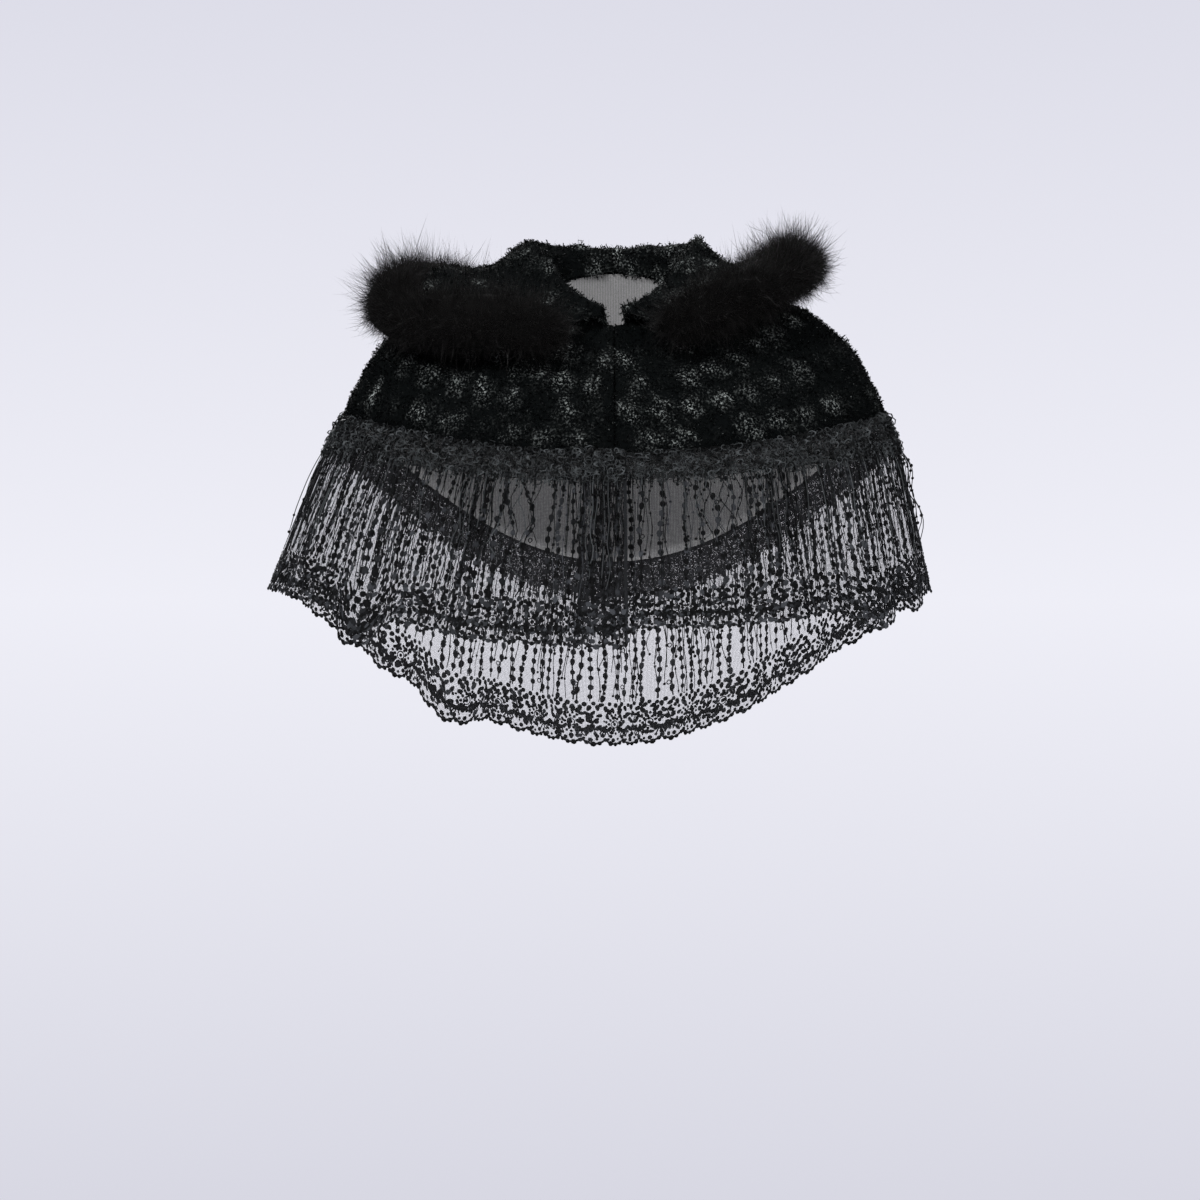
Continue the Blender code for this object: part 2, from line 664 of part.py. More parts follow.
def cord_ring(run, level, bow, size, shape):
    """Four corners of a hanging cord, in the order of the heading's edge."""
    step = size / 2
    centre = lace_point(run, level, **shape)
    normal = lace_normal(run, level, **shape)
    along = unit(lace_point(run + step, level, **shape) - centre)
    middle = centre + normal * (CORD_CLEARANCE + bow)
    return [middle + along * step + normal * step,
            middle - along * step + normal * step,
            middle - along * step - normal * step,
            middle + along * step - normal * step]


def heading(name, ends, shape, plain_ends=0):
    """The dense band under the yoke, with cords drawn out of its edge."""
    runs = lace_runs(ends)
    columns = len(runs)
    levels = np.array([HEADING_TOP, HEADING_BOTTOM])
    grid_run, grid_level = np.meshgrid(runs, levels)
    middle = lace_point(grid_run, grid_level, **shape)
    normal = lace_normal(grid_run, grid_level, **shape)
    near = LACE_THICKNESS / 2 + HEADING_CLEARANCE
    inner = middle + normal * near
    outer = inner + normal * HEADING_THICKNESS
    points = list(outer.reshape(-1, 3)) + list(inner.reshape(-1, 3))
    cells = [col for col in range(1, columns - 2)
             if col % 3 != 1 and runs[col] > runs[0] + plain_ends]
    faces = wall_faces(2, columns, cells)
    draw = random.Random(CORD_SEED + len(name))
    for col in cells:
        root = [columns + col + 1, columns + col,
                3 * columns + col, 3 * columns + col + 1]
        middle_run = (runs[col] + runs[col + 1]) / 2
        sway = CORD_SWAY * draw.uniform(-1, 1)
        bow = CORD_BOW * draw.uniform(0.2, 1)
        bottom = CORD_BOTTOM - 0.10 * draw.random()
        for step in range(CORD_STEPS + 1):
            f = step / CORD_STEPS
            level = HEADING_BOTTOM + 0.04 + (bottom - HEADING_BOTTOM - 0.04) * f
            ring = cord_ring(middle_run + sway * math.sin(math.pi * 1.5 * f),
                             level, bow * math.sin(math.pi * min(1, f + 0.08)),
                             CORD_WIDTH, shape)
            tip = list(range(len(points), len(points) + 4))
            points.extend(ring)
            for k in range(4):
                faces.append((root[k], root[(k + 1) % 4],
                              tip[(k + 1) % 4], tip[k]))
            root = tip
        faces.append(tuple(root))
    return solid("heading_" + name, points, faces, CHARCOAL_THREAD)


def lace():
    for name, piece in LACE_PIECES.items():
        flounce(name, piece["ends"], piece["shape"])
        covered = LAP_WIDTH + LAP_RAMP / 3 if name == "front_left" else 0
        heading(name, piece["ends"], piece["shape"], covered)


def main():
    for obj in list(bpy.data.objects):
        bpy.data.objects.remove(obj, do_unlink=True)
    yoke()
    hood()
    lace()


main()
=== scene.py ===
"""Looks of a hooded capelet: plush yoke and hood, long-hair trim and lace.

Laid out as an add-on and run as a script, round the capelet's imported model.
Left and right are the wearer's: the wearer faces -Y and the wearer's left is
+X. Metres, +Z up.
"""
import math

import bmesh
import bpy
import numpy as np
from bpy.props import FloatProperty, FloatVectorProperty, IntProperty, PointerProperty
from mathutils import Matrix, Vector


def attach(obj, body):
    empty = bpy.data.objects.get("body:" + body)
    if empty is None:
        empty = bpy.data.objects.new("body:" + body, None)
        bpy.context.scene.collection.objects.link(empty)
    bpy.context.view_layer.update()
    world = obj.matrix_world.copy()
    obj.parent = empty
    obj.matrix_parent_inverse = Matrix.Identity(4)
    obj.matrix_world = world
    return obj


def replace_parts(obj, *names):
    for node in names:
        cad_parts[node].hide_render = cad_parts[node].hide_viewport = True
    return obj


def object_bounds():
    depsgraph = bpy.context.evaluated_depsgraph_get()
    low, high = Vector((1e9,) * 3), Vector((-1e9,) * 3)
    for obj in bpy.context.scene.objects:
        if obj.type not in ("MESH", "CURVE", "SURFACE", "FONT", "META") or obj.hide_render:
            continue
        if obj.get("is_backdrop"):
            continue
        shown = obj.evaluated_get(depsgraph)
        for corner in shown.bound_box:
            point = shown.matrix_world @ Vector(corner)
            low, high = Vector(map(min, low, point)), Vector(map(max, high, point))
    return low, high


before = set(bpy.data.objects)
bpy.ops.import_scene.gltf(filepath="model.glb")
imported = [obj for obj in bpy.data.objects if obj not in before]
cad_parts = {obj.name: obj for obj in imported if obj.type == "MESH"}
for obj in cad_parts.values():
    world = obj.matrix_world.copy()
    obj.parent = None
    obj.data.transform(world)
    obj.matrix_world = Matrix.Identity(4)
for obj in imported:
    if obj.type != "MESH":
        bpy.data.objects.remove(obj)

bl_info = {
    "name": "Hooded capelet",
    "version": (1, 0, 0),
    "blender": (4, 5, 0),
    "location": "3D View > Sidebar > Capelet",
    "description": "Dresses a hooded capelet in plush, long hair and lace",
    "category": "Object",
}

BODY = "root"
MODEL_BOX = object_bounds()

# The form that the lace hangs on, a ring for each level.
# Level 0 is the neckline, 1 the yoke's lower edge and 2 the hem.
RING_COLUMNS = ("level", "right", "left", "front", "back",
                "z_front", "z_side", "z_back")
RINGS = (
    (0.00, 0.070, 0.070, 0.072, 0.060, -0.045, 0.004, 0.022),
    (0.25, 0.128, 0.128, 0.098, 0.098, -0.076, -0.008, -0.045),
    (0.50, 0.188, 0.190, 0.121, 0.122, -0.108, -0.026, -0.118),
    (0.75, 0.236, 0.238, 0.137, 0.136, -0.140, -0.070, -0.194),
    (1.00, 0.267, 0.268, 0.148, 0.143, -0.172, -0.130, -0.270),
    (1.50, 0.302, 0.288, 0.163, 0.157, -0.258, -0.215, -0.366),
    (2.00, 0.331, 0.302, 0.178, 0.172, -0.346, -0.300, -0.462),
)
FRONT_SAG = 2.0
BACK_SAG = 2.3
SIDE_SEAM = 90.0            # azimuth of the side seams, degrees
HEM_STEPS = 1440            # steps that the hem's length is summed in

# The flounce's folds: place of the crest along the hem from the centre front,
# half width, depth, and how far it lets the hem hang
FOLD_COLUMNS = ("run", "width", "depth", "hang")
FRONT_FOLDS = (
    (-0.395, 0.020, 0.013, 0.003),
    (-0.330, 0.019, 0.014, 0.002),
    (-0.252, 0.015, 0.024, 0.036),
    (-0.197, 0.018, 0.011, 0.000),
    (-0.135, 0.018, 0.018, 0.004),
    (-0.078, 0.015, 0.008, 0.000),
    (-0.022, 0.015, 0.010, 0.002),
    (0.052, 0.016, 0.009, 0.000),
    (0.104, 0.015, 0.009, 0.002),
    (0.160, 0.019, 0.020, 0.003),
    (0.214, 0.014, 0.009, 0.000),
    (0.262, 0.016, 0.023, 0.026),
    (0.318, 0.020, 0.015, 0.016),
    (0.378, 0.017, 0.012, 0.003),
)
BACK_FOLD_COLUMNS = ("share", "width", "depth", "hang")
BACK_FOLDS = (
    (0.05, 0.019, 0.013, 0.002),
    (0.14, 0.020, 0.018, 0.006),
    (0.23, 0.019, 0.012, 0.002),
    (0.33, 0.021, 0.019, 0.004),
    (0.43, 0.018, 0.013, 0.003),
    (0.52, 0.021, 0.017, 0.004),
    (0.62, 0.018, 0.012, 0.003),
    (0.70, 0.023, 0.019, 0.027),
    (0.79, 0.019, 0.013, 0.012),
    (0.88, 0.020, 0.017, 0.003),
    (0.95, 0.018, 0.012, 0.001),
)
FOLD_BULGE = 0.35           # how much wider a fold is at its crest
FOLD_AT_HEADING = 0.10      # share of a fold's depth at the heading
LACE_OFFSET = 0.0020        # of the net from the form

# The fronts lap at the centre, and each hangs at its own height
LAP_WIDTH = 0.046
LAP_PAST_CENTRE = 0.012
LAP_RISE = 0.0115
LAP_RAMP = 0.045
RIGHT_FRONT_HANG = 0.010
LEFT_FRONT_HANG = -0.008
FLOUNCE_DEPTH = 0.185       # cloth from the yoke's edge to the hem

# Small gathers under the heading, a listed run of them that comes again
GATHER_COLUMNS = ("place", "width", "depth", "reach")
GATHER_RUN = 0.127
GATHERS = (
    (0.006, 0.0021, 0.0017, 0.55),
    (0.015, 0.0027, 0.0012, 0.35),
    (0.026, 0.0023, 0.0019, 0.80),
    (0.034, 0.0019, 0.0010, 0.30),
    (0.045, 0.0030, 0.0021, 0.95),
    (0.056, 0.0022, 0.0013, 0.45),
    (0.064, 0.0024, 0.0018, 0.70),
    (0.077, 0.0028, 0.0011, 0.38),
    (0.086, 0.0021, 0.0020, 0.88),
    (0.097, 0.0025, 0.0014, 0.50),
    (0.107, 0.0020, 0.0016, 0.62),
    (0.118, 0.0026, 0.0010, 0.33),
)


# ---------------- the lace's form

def named_rows(columns, table):
    """A table's rows, each with its columns' names."""
    return [dict(zip(columns, row)) for row in table]


def ring_column(name):
    """One column of the rings' table, as an array."""
    return np.array([ring[name] for ring in named_rows(RING_COLUMNS, RINGS)], float)


def smooth(places, values, at):
    """The smooth curve through values at their places, read anywhere."""
    slopes = np.gradient(values, places)
    cell = np.clip(np.searchsorted(places, at) - 1, 0, len(places) - 2)
    width = places[cell + 1] - places[cell]
    f = (at - places[cell]) / width
    return ((2 * f**3 - 3 * f**2 + 1) * values[cell]
            + (f**3 - 2 * f**2 + f) * width * slopes[cell]
            + (3 * f**2 - 2 * f**3) * values[cell + 1]
            + (f**3 - f**2) * width * slopes[cell + 1])


def ring_value(name, level):
    """A size of the form at any level, between its rings."""
    return smooth(ring_column("level"), ring_column(name), level)


def unit(vectors):
    return vectors / np.maximum(np.linalg.norm(vectors, axis=-1, keepdims=True), 1e-12)


def form_point(azimuth, level):
    """A point of the form; azimuth in degrees, 0 at the centre front."""
    azimuth, level = np.broadcast_arrays(np.asarray(azimuth, float),
                                         np.asarray(level, float))
    side = np.sin(np.radians(azimuth))
    ahead = np.cos(np.radians(azimuth))
    half = np.where(side < 0, ring_value("right", level), ring_value("left", level))
    depth = np.where(ahead > 0, -ring_value("front", level), -ring_value("back", level))
    z_side = ring_value("z_side", level)
    sag = np.where(ahead > 0,
                   (ring_value("z_front", level) - z_side) * np.abs(ahead)**FRONT_SAG,
                   (ring_value("z_back", level) - z_side) * np.abs(ahead)**BACK_SAG)
    return np.stack([half * side, depth * ahead, z_side + sag], -1)


def form_normal(azimuth, level):
    """The outward direction of the form at a point."""
    turn, drop = 0.05, 0.002
    along = form_point(azimuth + turn, level) - form_point(azimuth - turn, level)
    down = form_point(azimuth, level + drop) - form_point(azimuth, level - drop)
    return unit(np.cross(down, along))


def hem_runs():
    """Azimuths in small steps, and the distance along the hem to each."""
    azimuths = np.linspace(-180, 180, HEM_STEPS + 1)
    steps = np.linalg.norm(np.diff(form_point(azimuths, 2.0), axis=0), axis=1)
    runs = np.concatenate([[0], np.cumsum(steps)])
    return azimuths, runs - np.interp(0, azimuths, runs)


HEM_AZIMUTHS, HEM_RUNS = hem_runs()
HEM_TURN = HEM_RUNS[-1] - HEM_RUNS[0]


def run_at(azimuth):
    """The place along the hem at an azimuth."""
    return float(np.interp(azimuth, HEM_AZIMUTHS, HEM_RUNS))


def every_fold():
    """Every fold, repeated one turn away so that the back closes."""
    start = run_at(SIDE_SEAM)
    length = HEM_RUNS[-1] - start + run_at(-SIDE_SEAM) - HEM_RUNS[0]
    folds = named_rows(FOLD_COLUMNS, FRONT_FOLDS)
    for fold in named_rows(BACK_FOLD_COLUMNS, BACK_FOLDS):
        folds.append(dict(fold, run=start + fold["share"] * length))
    return [dict(fold, run=fold["run"] + shift)
            for fold in folds for shift in (-HEM_TURN, 0, HEM_TURN)]


FOLDS = every_fold()


def gathers(run, level):
    """Height of the small gathers, which fade down the cloth."""
    place = np.mod(run, GATHER_RUN)
    rise = np.zeros(run.shape)
    for gather in named_rows(GATHER_COLUMNS, GATHERS):
        fade = np.clip(1 - (level - 1) / gather["reach"], 0, 1)
        rise += gather["depth"] * fade * np.exp(
            -((place - gather["place"]) / gather["width"])**2 / 2)
    return rise


def lap_share(run):
    """How far the upper front has risen over the lower one."""
    start = LAP_PAST_CENTRE - LAP_WIDTH - LAP_RAMP
    f = np.clip((run - start) / LAP_RAMP, 0, 1)
    return f * f * (3 - 2 * f)


def lace_point(run, level, lap=0.0, hang=0.0):
    """A point of the lace, by its run along the hem and its level."""
    run, level = np.broadcast_arrays(np.asarray(run, float), np.asarray(level, float))
    growth = FOLD_AT_HEADING + (1 - FOLD_AT_HEADING) * np.clip(level - 1, 0, 1)
    rise, shift, drop = (np.zeros(run.shape) for _ in range(3))
    for fold in FOLDS:
        u = (run - fold["run"]) / fold["width"]
        crest = np.exp(-u * u / 2)
        rise += fold["depth"] * crest * growth
        shift += FOLD_BULGE * fold["depth"] * u * crest * growth
        drop += fold["hang"] * crest * growth**2
    wrapped = HEM_RUNS[0] + np.mod(run + shift - HEM_RUNS[0], HEM_TURN)
    azimuth = np.interp(wrapped, HEM_RUNS, HEM_AZIMUTHS)
    near_front = np.clip(np.cos(np.radians(azimuth)), 0, 1)**4
    drop += hang * near_front * np.clip(level - 1, 0, 1)
    out = rise + gathers(run, level) + LACE_OFFSET + lap * lap_share(run)
    point = form_point(azimuth, level) + form_normal(azimuth, level) * out[..., None]
    point[..., 2] -= drop
    return point


def lace_frame(run, level, shape):
    """Points of the lace with their outward directions."""
    step, drop = 0.0008, 0.004
    along = lace_point(run + step, level, **shape) - lace_point(run - step, level, **shape)
    down = lace_point(run, level + drop, **shape) - lace_point(run, level - drop, **shape)
    return lace_point(run, level, **shape), unit(np.cross(down, along))


def on_lace(flat, shape):
    """Flat lace points (run, down, height over the net) in their worn place."""
    flat = np.asarray(flat, float)
    level = 1 + flat[..., 1] / FLOUNCE_DEPTH
    point, normal = lace_frame(flat[..., 0], level, shape)
    return point + normal * flat[..., 2:3]


# Each lace piece: its ends along the hem, how it hangs and laps, the thin
# lines between two of its columns, and its cut size
SEAM_GAP = 0.0003
LACE_PIECES = {
    "front_right": dict(
        ends=(run_at(-SIDE_SEAM) + SEAM_GAP, LAP_PAST_CENTRE),
        shape=dict(lap=LAP_RISE, hang=RIGHT_FRONT_HANG), fillers=2,
        cut=(0.50, 0.187)),
    "front_left": dict(
        ends=(LAP_PAST_CENTRE - LAP_WIDTH, run_at(SIDE_SEAM) - SEAM_GAP),
        shape=dict(hang=LEFT_FRONT_HANG), fillers=2,
        cut=(0.50, 0.187)),
    "back": dict(
        ends=(run_at(SIDE_SEAM) + SEAM_GAP, HEM_TURN + run_at(-SIDE_SEAM) - SEAM_GAP),
        shape=dict(), fillers=1,
        cut=(0.95, 0.187)),
}


# ---------------- sizes and colours

def length(name, description, default):
    """A size in metres."""
    return FloatProperty(name=name, description=description, default=default,
                         unit="LENGTH", precision=4)


def colour(name, description, default):
    """A colour, in linear light."""
    return FloatVectorProperty(name=name, description=description, default=default,
                               size=3, subtype="COLOR", min=0, max=1)


def amount(name, description, default):
    """A whole number of things."""
    return IntProperty(name=name, description=description, default=default, min=0)


class CapeletSizes(bpy.types.PropertyGroup):
    """Sizes that a maker would change."""
    pile_length: length("Pile length", "Length of one curl of the plush", 0.0058)
    curl_width: length("Curl width", "Width of a curl at its root", 0.0013)
    curls: amount("Curls", "Curls on a square metre of plush", 188000)
    rosette_step: length("Rosette step", "Distance between rosettes on the hood", 0.029)
    hair_width: length("Hair width", "Width of a hair at its root", 0.00034)
    hair_reach: length("Hair reach", "How far guard hairs pass the trim", 0.0210)
    hairs: amount("Hairs", "Hairs on each half of the trim", 60000)
    net_cell: length("Net cell", "Width of one cell of the net", 0.0013)
    column_step: length("Column step", "Distance between embroidered columns", 0.0118)
    scallop: length("Scallop", "Width of one scallop of the hem", 0.0205)
    heading_depth: length("Heading depth", "Depth of the dense heading", 0.0300)
    ringlet: length("Ringlet", "Radius of a ringlet of the heading", 0.0029)
    cords: amount("Cords", "Hanging cords on a metre of hem", 125)
    cord_radius: length("Cord radius", "Radius of a hanging cord", 0.00052)


class CapeletColours(bpy.types.PropertyGroup):
    """Colours that a maker would change."""
    pile: colour("Pile", "The plush's own black", (0.0018, 0.0023, 0.0024))
    # A grey painted into the pile as highlights, where rosettes would catch the light
    pile_shine: colour("Pile shine", "Rosettes in the light", (0.440, 0.475, 0.462))
    backing: colour("Backing", "Knitted back of the plush", (0.120, 0.119, 0.120))
    hair: colour("Hair", "Long hair at its tips", (0.0040, 0.0037, 0.0036))
    thread: colour("Thread", "Embroidery", (0.0030, 0.0032, 0.0036))
    heading: colour("Heading", "Thread of the heading and cords", (0.0042, 0.0046, 0.0048))
    net: colour("Net", "Tulle", (0.016, 0.016, 0.018))
    floor: colour("Floor", "Studio floor", (0.42, 0.42, 0.45))


# ---------------- materials

SPECK_RANGE = (0.52, 0.66)  # noise that turns from black to a grey speck
PAINTED_THREAD_SHEEN = 16.0         # how much lighter the lightest threads are painted, as sheen
NET_THREAD = 0.090          # share of a cell that is thread
DENSE_NET_THREAD = 0.26
FINISHES = []


def add_node(tree, kind, settings=None, **sockets):
    """A shader node with its settings, and its sockets' values or links."""
    node = tree.nodes.new("ShaderNode" + kind)
    for name, value in (settings or {}).items():
        setattr(node, name, value)
    for name, value in sockets.items():
        key = int(name[1:]) if name[1:].isdigit() else name.replace("_", " ")
        if isinstance(value, bpy.types.NodeSocket):
            tree.links.new(value, node.inputs[key])
        else:
            node.inputs[key].default_value = value
    return node


def new_material(name, base, roughness, gloss=0.5):
    """A Principled material; returns the material, its tree and its shader."""
    material = bpy.data.materials.new(name)
    material.use_nodes = True
    tree = material.node_tree
    shader = tree.nodes["Principled BSDF"]
    for socket, value in (("Base Color", (*base, 1)), ("Roughness", roughness),
                          ("Specular IOR Level", gloss)):
        shader.inputs[socket].default_value = value
    return material, tree, shader


def noise(tree, scale, detail=2.0, roughness=0.5):
    """Even noise that stays on the object."""
    place = add_node(tree, "TexCoord").outputs["Object"]
    return add_node(tree, "TexNoise", Vector=place, Scale=scale, Detail=detail,
                    Roughness=roughness).outputs["Fac"]


def banded(tree, direction, **sockets):
    """Fine bands that stay on the object."""
    place = add_node(tree, "TexCoord").outputs["Object"]
    return add_node(tree, "TexWave", {"bands_direction": direction}, Vector=place,
                    Detail=2.0, **sockets).outputs["Fac"]


def stored(tree, label):
    """A number that the mesh keeps for each point."""
    return add_node(tree, "Attribute", {"attribute_name": label}).outputs["Fac"]


def mixed(tree, factor, low, high):
    """A colour between two, by a factor."""
    mix = tree.nodes.new("ShaderNodeMix")
    mix.data_type = "RGBA"
    tree.links.new(factor, mix.inputs["Factor"])
    mix.inputs["A"].default_value = (*low, 1)
    mix.inputs["B"].default_value = (*high, 1)
    return mix.outputs["Result"]


def shades(tree, shader, factor, base, darkest, lightest):
    """Colour the surface between a darker and a lighter shade of its base."""
    tree.links.new(mixed(tree, factor, scaled(base, darkest), scaled(base, lightest)),
                   shader.inputs["Base Color"])


def scaled(base, factor):
    """A colour made lighter or darker."""
    return tuple(min(1.0, channel * factor) for channel in base)


def ranged(tree, value, low, high, to_low=0.0, to_high=1.0):
    """A value carried from one range to another, and kept inside it."""
    carried = add_node(tree, "MapRange", _0=value, _1=low, _2=high, _3=to_low, _4=to_high)
    return carried.outputs["Result"]


def bumped(tree, shader, height, strength, distance):
    """Low relief on the surface."""
    bump = add_node(tree, "Bump", Height=height, Strength=strength, Distance=distance)
    tree.links.new(bump.outputs["Normal"], shader.inputs["Normal"])


def painted_glints(tree, colours, fine):
    """Pile colour: black, with fine grey specks painted in as glints where the painted
    shine is high.
    """
    shine = stored(tree, "shine")
    specks = ranged(tree, noise(tree, fine, 2.0, 0.6), *SPECK_RANGE)
    both = add_node(tree, "Math", {"operation": "MULTIPLY"}, _0=shine, _1=specks)
    return mixed(tree, both.outputs["Value"], tuple(colours.pile),
                 tuple(colours.pile_shine))


def plush_ground(colours):
    """The plush between its curls, with painted glints in its colour."""
    material, tree, shader = new_material("plush_ground", tuple(colours.pile), 0.90, 0.02)
    tree.links.new(painted_glints(tree, colours, 460), shader.inputs["Base Color"])
    bumped(tree, shader, noise(tree, 900, 3), 0.7, 0.0012)
    return material


def knit_backing(colours):
    """The knitted side of the plush, in fine ribs."""
    base = tuple(colours.backing)
    material, tree, shader = new_material("knit_backing", base, 0.85)
    ribs = banded(tree, "X", Scale=190.0, Distortion=3.0, Detail_Scale=6.0)
    shades(tree, shader, ribs, base, 0.6, 1.5)
    bumped(tree, shader, ribs, 0.5, 0.0006)
    return material


def curled_pile(colours):
    """Curls: black, with grey glints painted where a rosette would catch the light."""
    material, tree, shader = new_material("curled_pile", tuple(colours.pile), 0.45, 0.03)
    tree.links.new(painted_glints(tree, colours, 430), shader.inputs["Base Color"])
    tree.links.new(ranged(tree, noise(tree, 600, 2), 0.3, 0.7, 0.36, 0.60),
                   shader.inputs["Roughness"])
    return material


def long_hair(colours):
    """Hair, darker at its root."""
    tip = tuple(colours.hair)
    material, tree, shader = new_material("long_hair", tip, 0.50, 0.10)
    shades(tree, shader, stored(tree, "along"), tip, 0.35, 1.5)
    tree.links.new(ranged(tree, noise(tree, 90, 2), 0.3, 0.7, 0.40, 0.62),
                   shader.inputs["Roughness"])
    return material


def hair_ground(colours):
    """The dense short hair under the long hair."""
    base = scaled(tuple(colours.hair), 0.4)
    material, tree, shader = new_material("hair_ground", base, 0.9, 0.05)
    fine = noise(tree, 700, 3)
    shades(tree, shader, fine, base, 0.5, 1.6)
    bumped(tree, shader, fine, 0.8, 0.002)
    return material


def thread(name, base, roughness=0.42):
    """Embroidery thread, with the fine twist of its stitches and sheen painted lighter on
    some motifs.
    """
    material, tree, shader = new_material(name, base, roughness, 0.07)
    stitches = banded(tree, "DIAGONAL", Scale=520.0, Distortion=6.0, Detail_Scale=3.0)
    shades(tree, shader, stored(tree, "shine"), base, 0.6, PAINTED_THREAD_SHEEN)
    bumped(tree, shader, stitches, 0.6, 0.0005)
    return material


def net(name, base, cell, thread_share):
    """See-through net: threads round small cells, by the cloth's own map."""
    material, tree, shader = new_material(name, base, 0.7, 0.06)
    place = add_node(tree, "UVMap", {"uv_map": "cloth"}).outputs["UV"]
    cells = add_node(tree, "TexVoronoi", {"voronoi_dimensions": "2D",
                                          "feature": "DISTANCE_TO_EDGE"},
                     Vector=place, Scale=1 / cell, Randomness=0.35)
    threads = add_node(tree, "Math", {"operation": "LESS_THAN"},
                       _0=cells.outputs["Distance"], _1=thread_share)
    tree.links.new(threads.outputs["Value"], shader.inputs["Alpha"])
    return material


class Finishes:
    """The capelet's materials, each made once."""

    def __init__(self, sizes, colours):
        self.plush = plush_ground(colours)
        self.backing = knit_backing(colours)
        self.pile = curled_pile(colours)
        self.hair = long_hair(colours)
        self.hair_ground = hair_ground(colours)
        self.thread = thread("embroidery_thread", tuple(colours.thread))
        self.heading = thread("heading_thread", tuple(colours.heading), 0.38)
        self.net = net("tulle_net", tuple(colours.net), sizes.net_cell, NET_THREAD)
        self.dense_net = net("heading_net", tuple(colours.thread), sizes.net_cell,
                             DENSE_NET_THREAD)


def workbox(context):
    """The capelet's finishes, made at the first call, and its sizes."""
    scene = context.scene
    if not FINISHES:
        FINISHES.append(Finishes(scene.capelet_sizes, scene.capelet_colours))
    return FINISHES[0], scene.capelet_sizes


# ---------------- meshes

WELD = 1e-5
JOIN_FACE_ANGLE = math.radians(60)
JOIN_SHAPE_ANGLE = math.radians(80)
WALL_EDGE_ANGLE = math.radians(50)  # from here on, a wall's edge stays sharp


def store_values(mesh, label, numbers):
    """Keep a number for each point of a mesh."""
    layer = mesh.attributes.new(label, "FLOAT", "POINT")
    layer.data.foreach_set("value", np.asarray(numbers, np.float32))


def add_piece(name, mesh):
    """Put a mesh in the scene, riding on the capelet's one body."""
    piece = bpy.data.objects.new(name, mesh)
    bpy.context.scene.collection.objects.link(piece)
    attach(piece, BODY)
    return piece


def new_piece(name, points, face_sets, material, values=None, cloth_map=None):
    """A piece of the capelet.

    face_sets holds arrays with a row of corners for each face. values are
    named numbers for each point. cloth_map gives each point's flat place on
    its cloth.
    """
    corners = np.concatenate([faces.ravel() for faces in face_sets])
    sides = np.concatenate([np.full(len(faces), faces.shape[1]) for faces in face_sets])
    starts = np.concatenate([[0], np.cumsum(sides)[:-1]])
    mesh = bpy.data.meshes.new(name)
    mesh.vertices.add(len(points))
    mesh.vertices.foreach_set("co", np.asarray(points, np.float32).ravel())
    mesh.loops.add(len(corners))
    mesh.loops.foreach_set("vertex_index", corners.astype(np.int32))
    mesh.polygons.add(len(sides))
    mesh.polygons.foreach_set("loop_start", starts.astype(np.int32))
    mesh.materials.append(material)
    mesh.update(calc_edges=True)
    mesh.validate()
    mesh.shade_smooth()
    for label, numbers in (values or {}).items():
        store_values(mesh, label, numbers)
    if cloth_map is not None:
        layer = mesh.uv_layers.new(name="cloth")
        layer.data.foreach_set("uv", np.asarray(cloth_map, np.float32)[corners].ravel())
    return add_piece(name, mesh)


def welded(node):
    """A node's closed wall, with its corners welded."""
    work = bmesh.new()
    work.from_mesh(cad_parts[node].data)
    bmesh.ops.remove_doubles(work, verts=work.verts, dist=WELD)
    return work


def smooth_wall(node, name, sink=0.0):
    """A node's wall with larger faces, made finer and smoother once.

    A wall that sinks inward has no sharp edges.
    """
    work = welded(node)
    bmesh.ops.join_triangles(work, faces=work.faces, cmp_materials=False,
                             angle_face_threshold=JOIN_FACE_ANGLE,
                             angle_shape_threshold=JOIN_SHAPE_ANGLE)
    crease = work.edges.layers.float.new("crease_edge")
    for edge in work.edges:
        if edge.calc_face_angle(0) > WALL_EDGE_ANGLE and not sink:
            edge[crease] = 1.0
    work.normal_update()
    for vertex in work.verts:
        vertex.co -= vertex.normal * sink
    rough = bpy.data.meshes.new(name)
    work.to_mesh(rough)
    work.free()
    wall = bpy.data.objects.new(name + "_rough", rough)
    bpy.context.scene.collection.objects.link(wall)
    finer = wall.modifiers.new("Finer", "SUBSURF")
    finer.levels = finer.render_levels = 1
    evaluated = wall.evaluated_get(bpy.context.evaluated_depsgraph_get())
    mesh = bpy.data.meshes.new_from_object(evaluated)
    bpy.data.objects.remove(wall)
    bpy.data.meshes.remove(rough)
    mesh.name = name
    mesh.materials.clear()
    mesh.shade_smooth()
    return mesh


def mesh_points(mesh):
    """A mesh's points, as an array."""
    points = np.empty(len(mesh.vertices) * 3, np.float32)
    mesh.vertices.foreach_get("co", points)
    return points.reshape(-1, 3).astype(float)


def mesh_triangles(mesh):
    """Corner numbers of each triangle, and the points' smooth normals."""
    mesh.calc_loop_triangles()
    corners = np.empty(len(mesh.loop_triangles) * 3, np.int32)
    mesh.loop_triangles.foreach_get("vertices", corners)
    normals = np.empty(len(mesh.vertices) * 3, np.float32)
    mesh.vertex_normals.foreach_get("vector", normals)
    return corners.reshape(-1, 3), normals.reshape(-1, 3).astype(float)


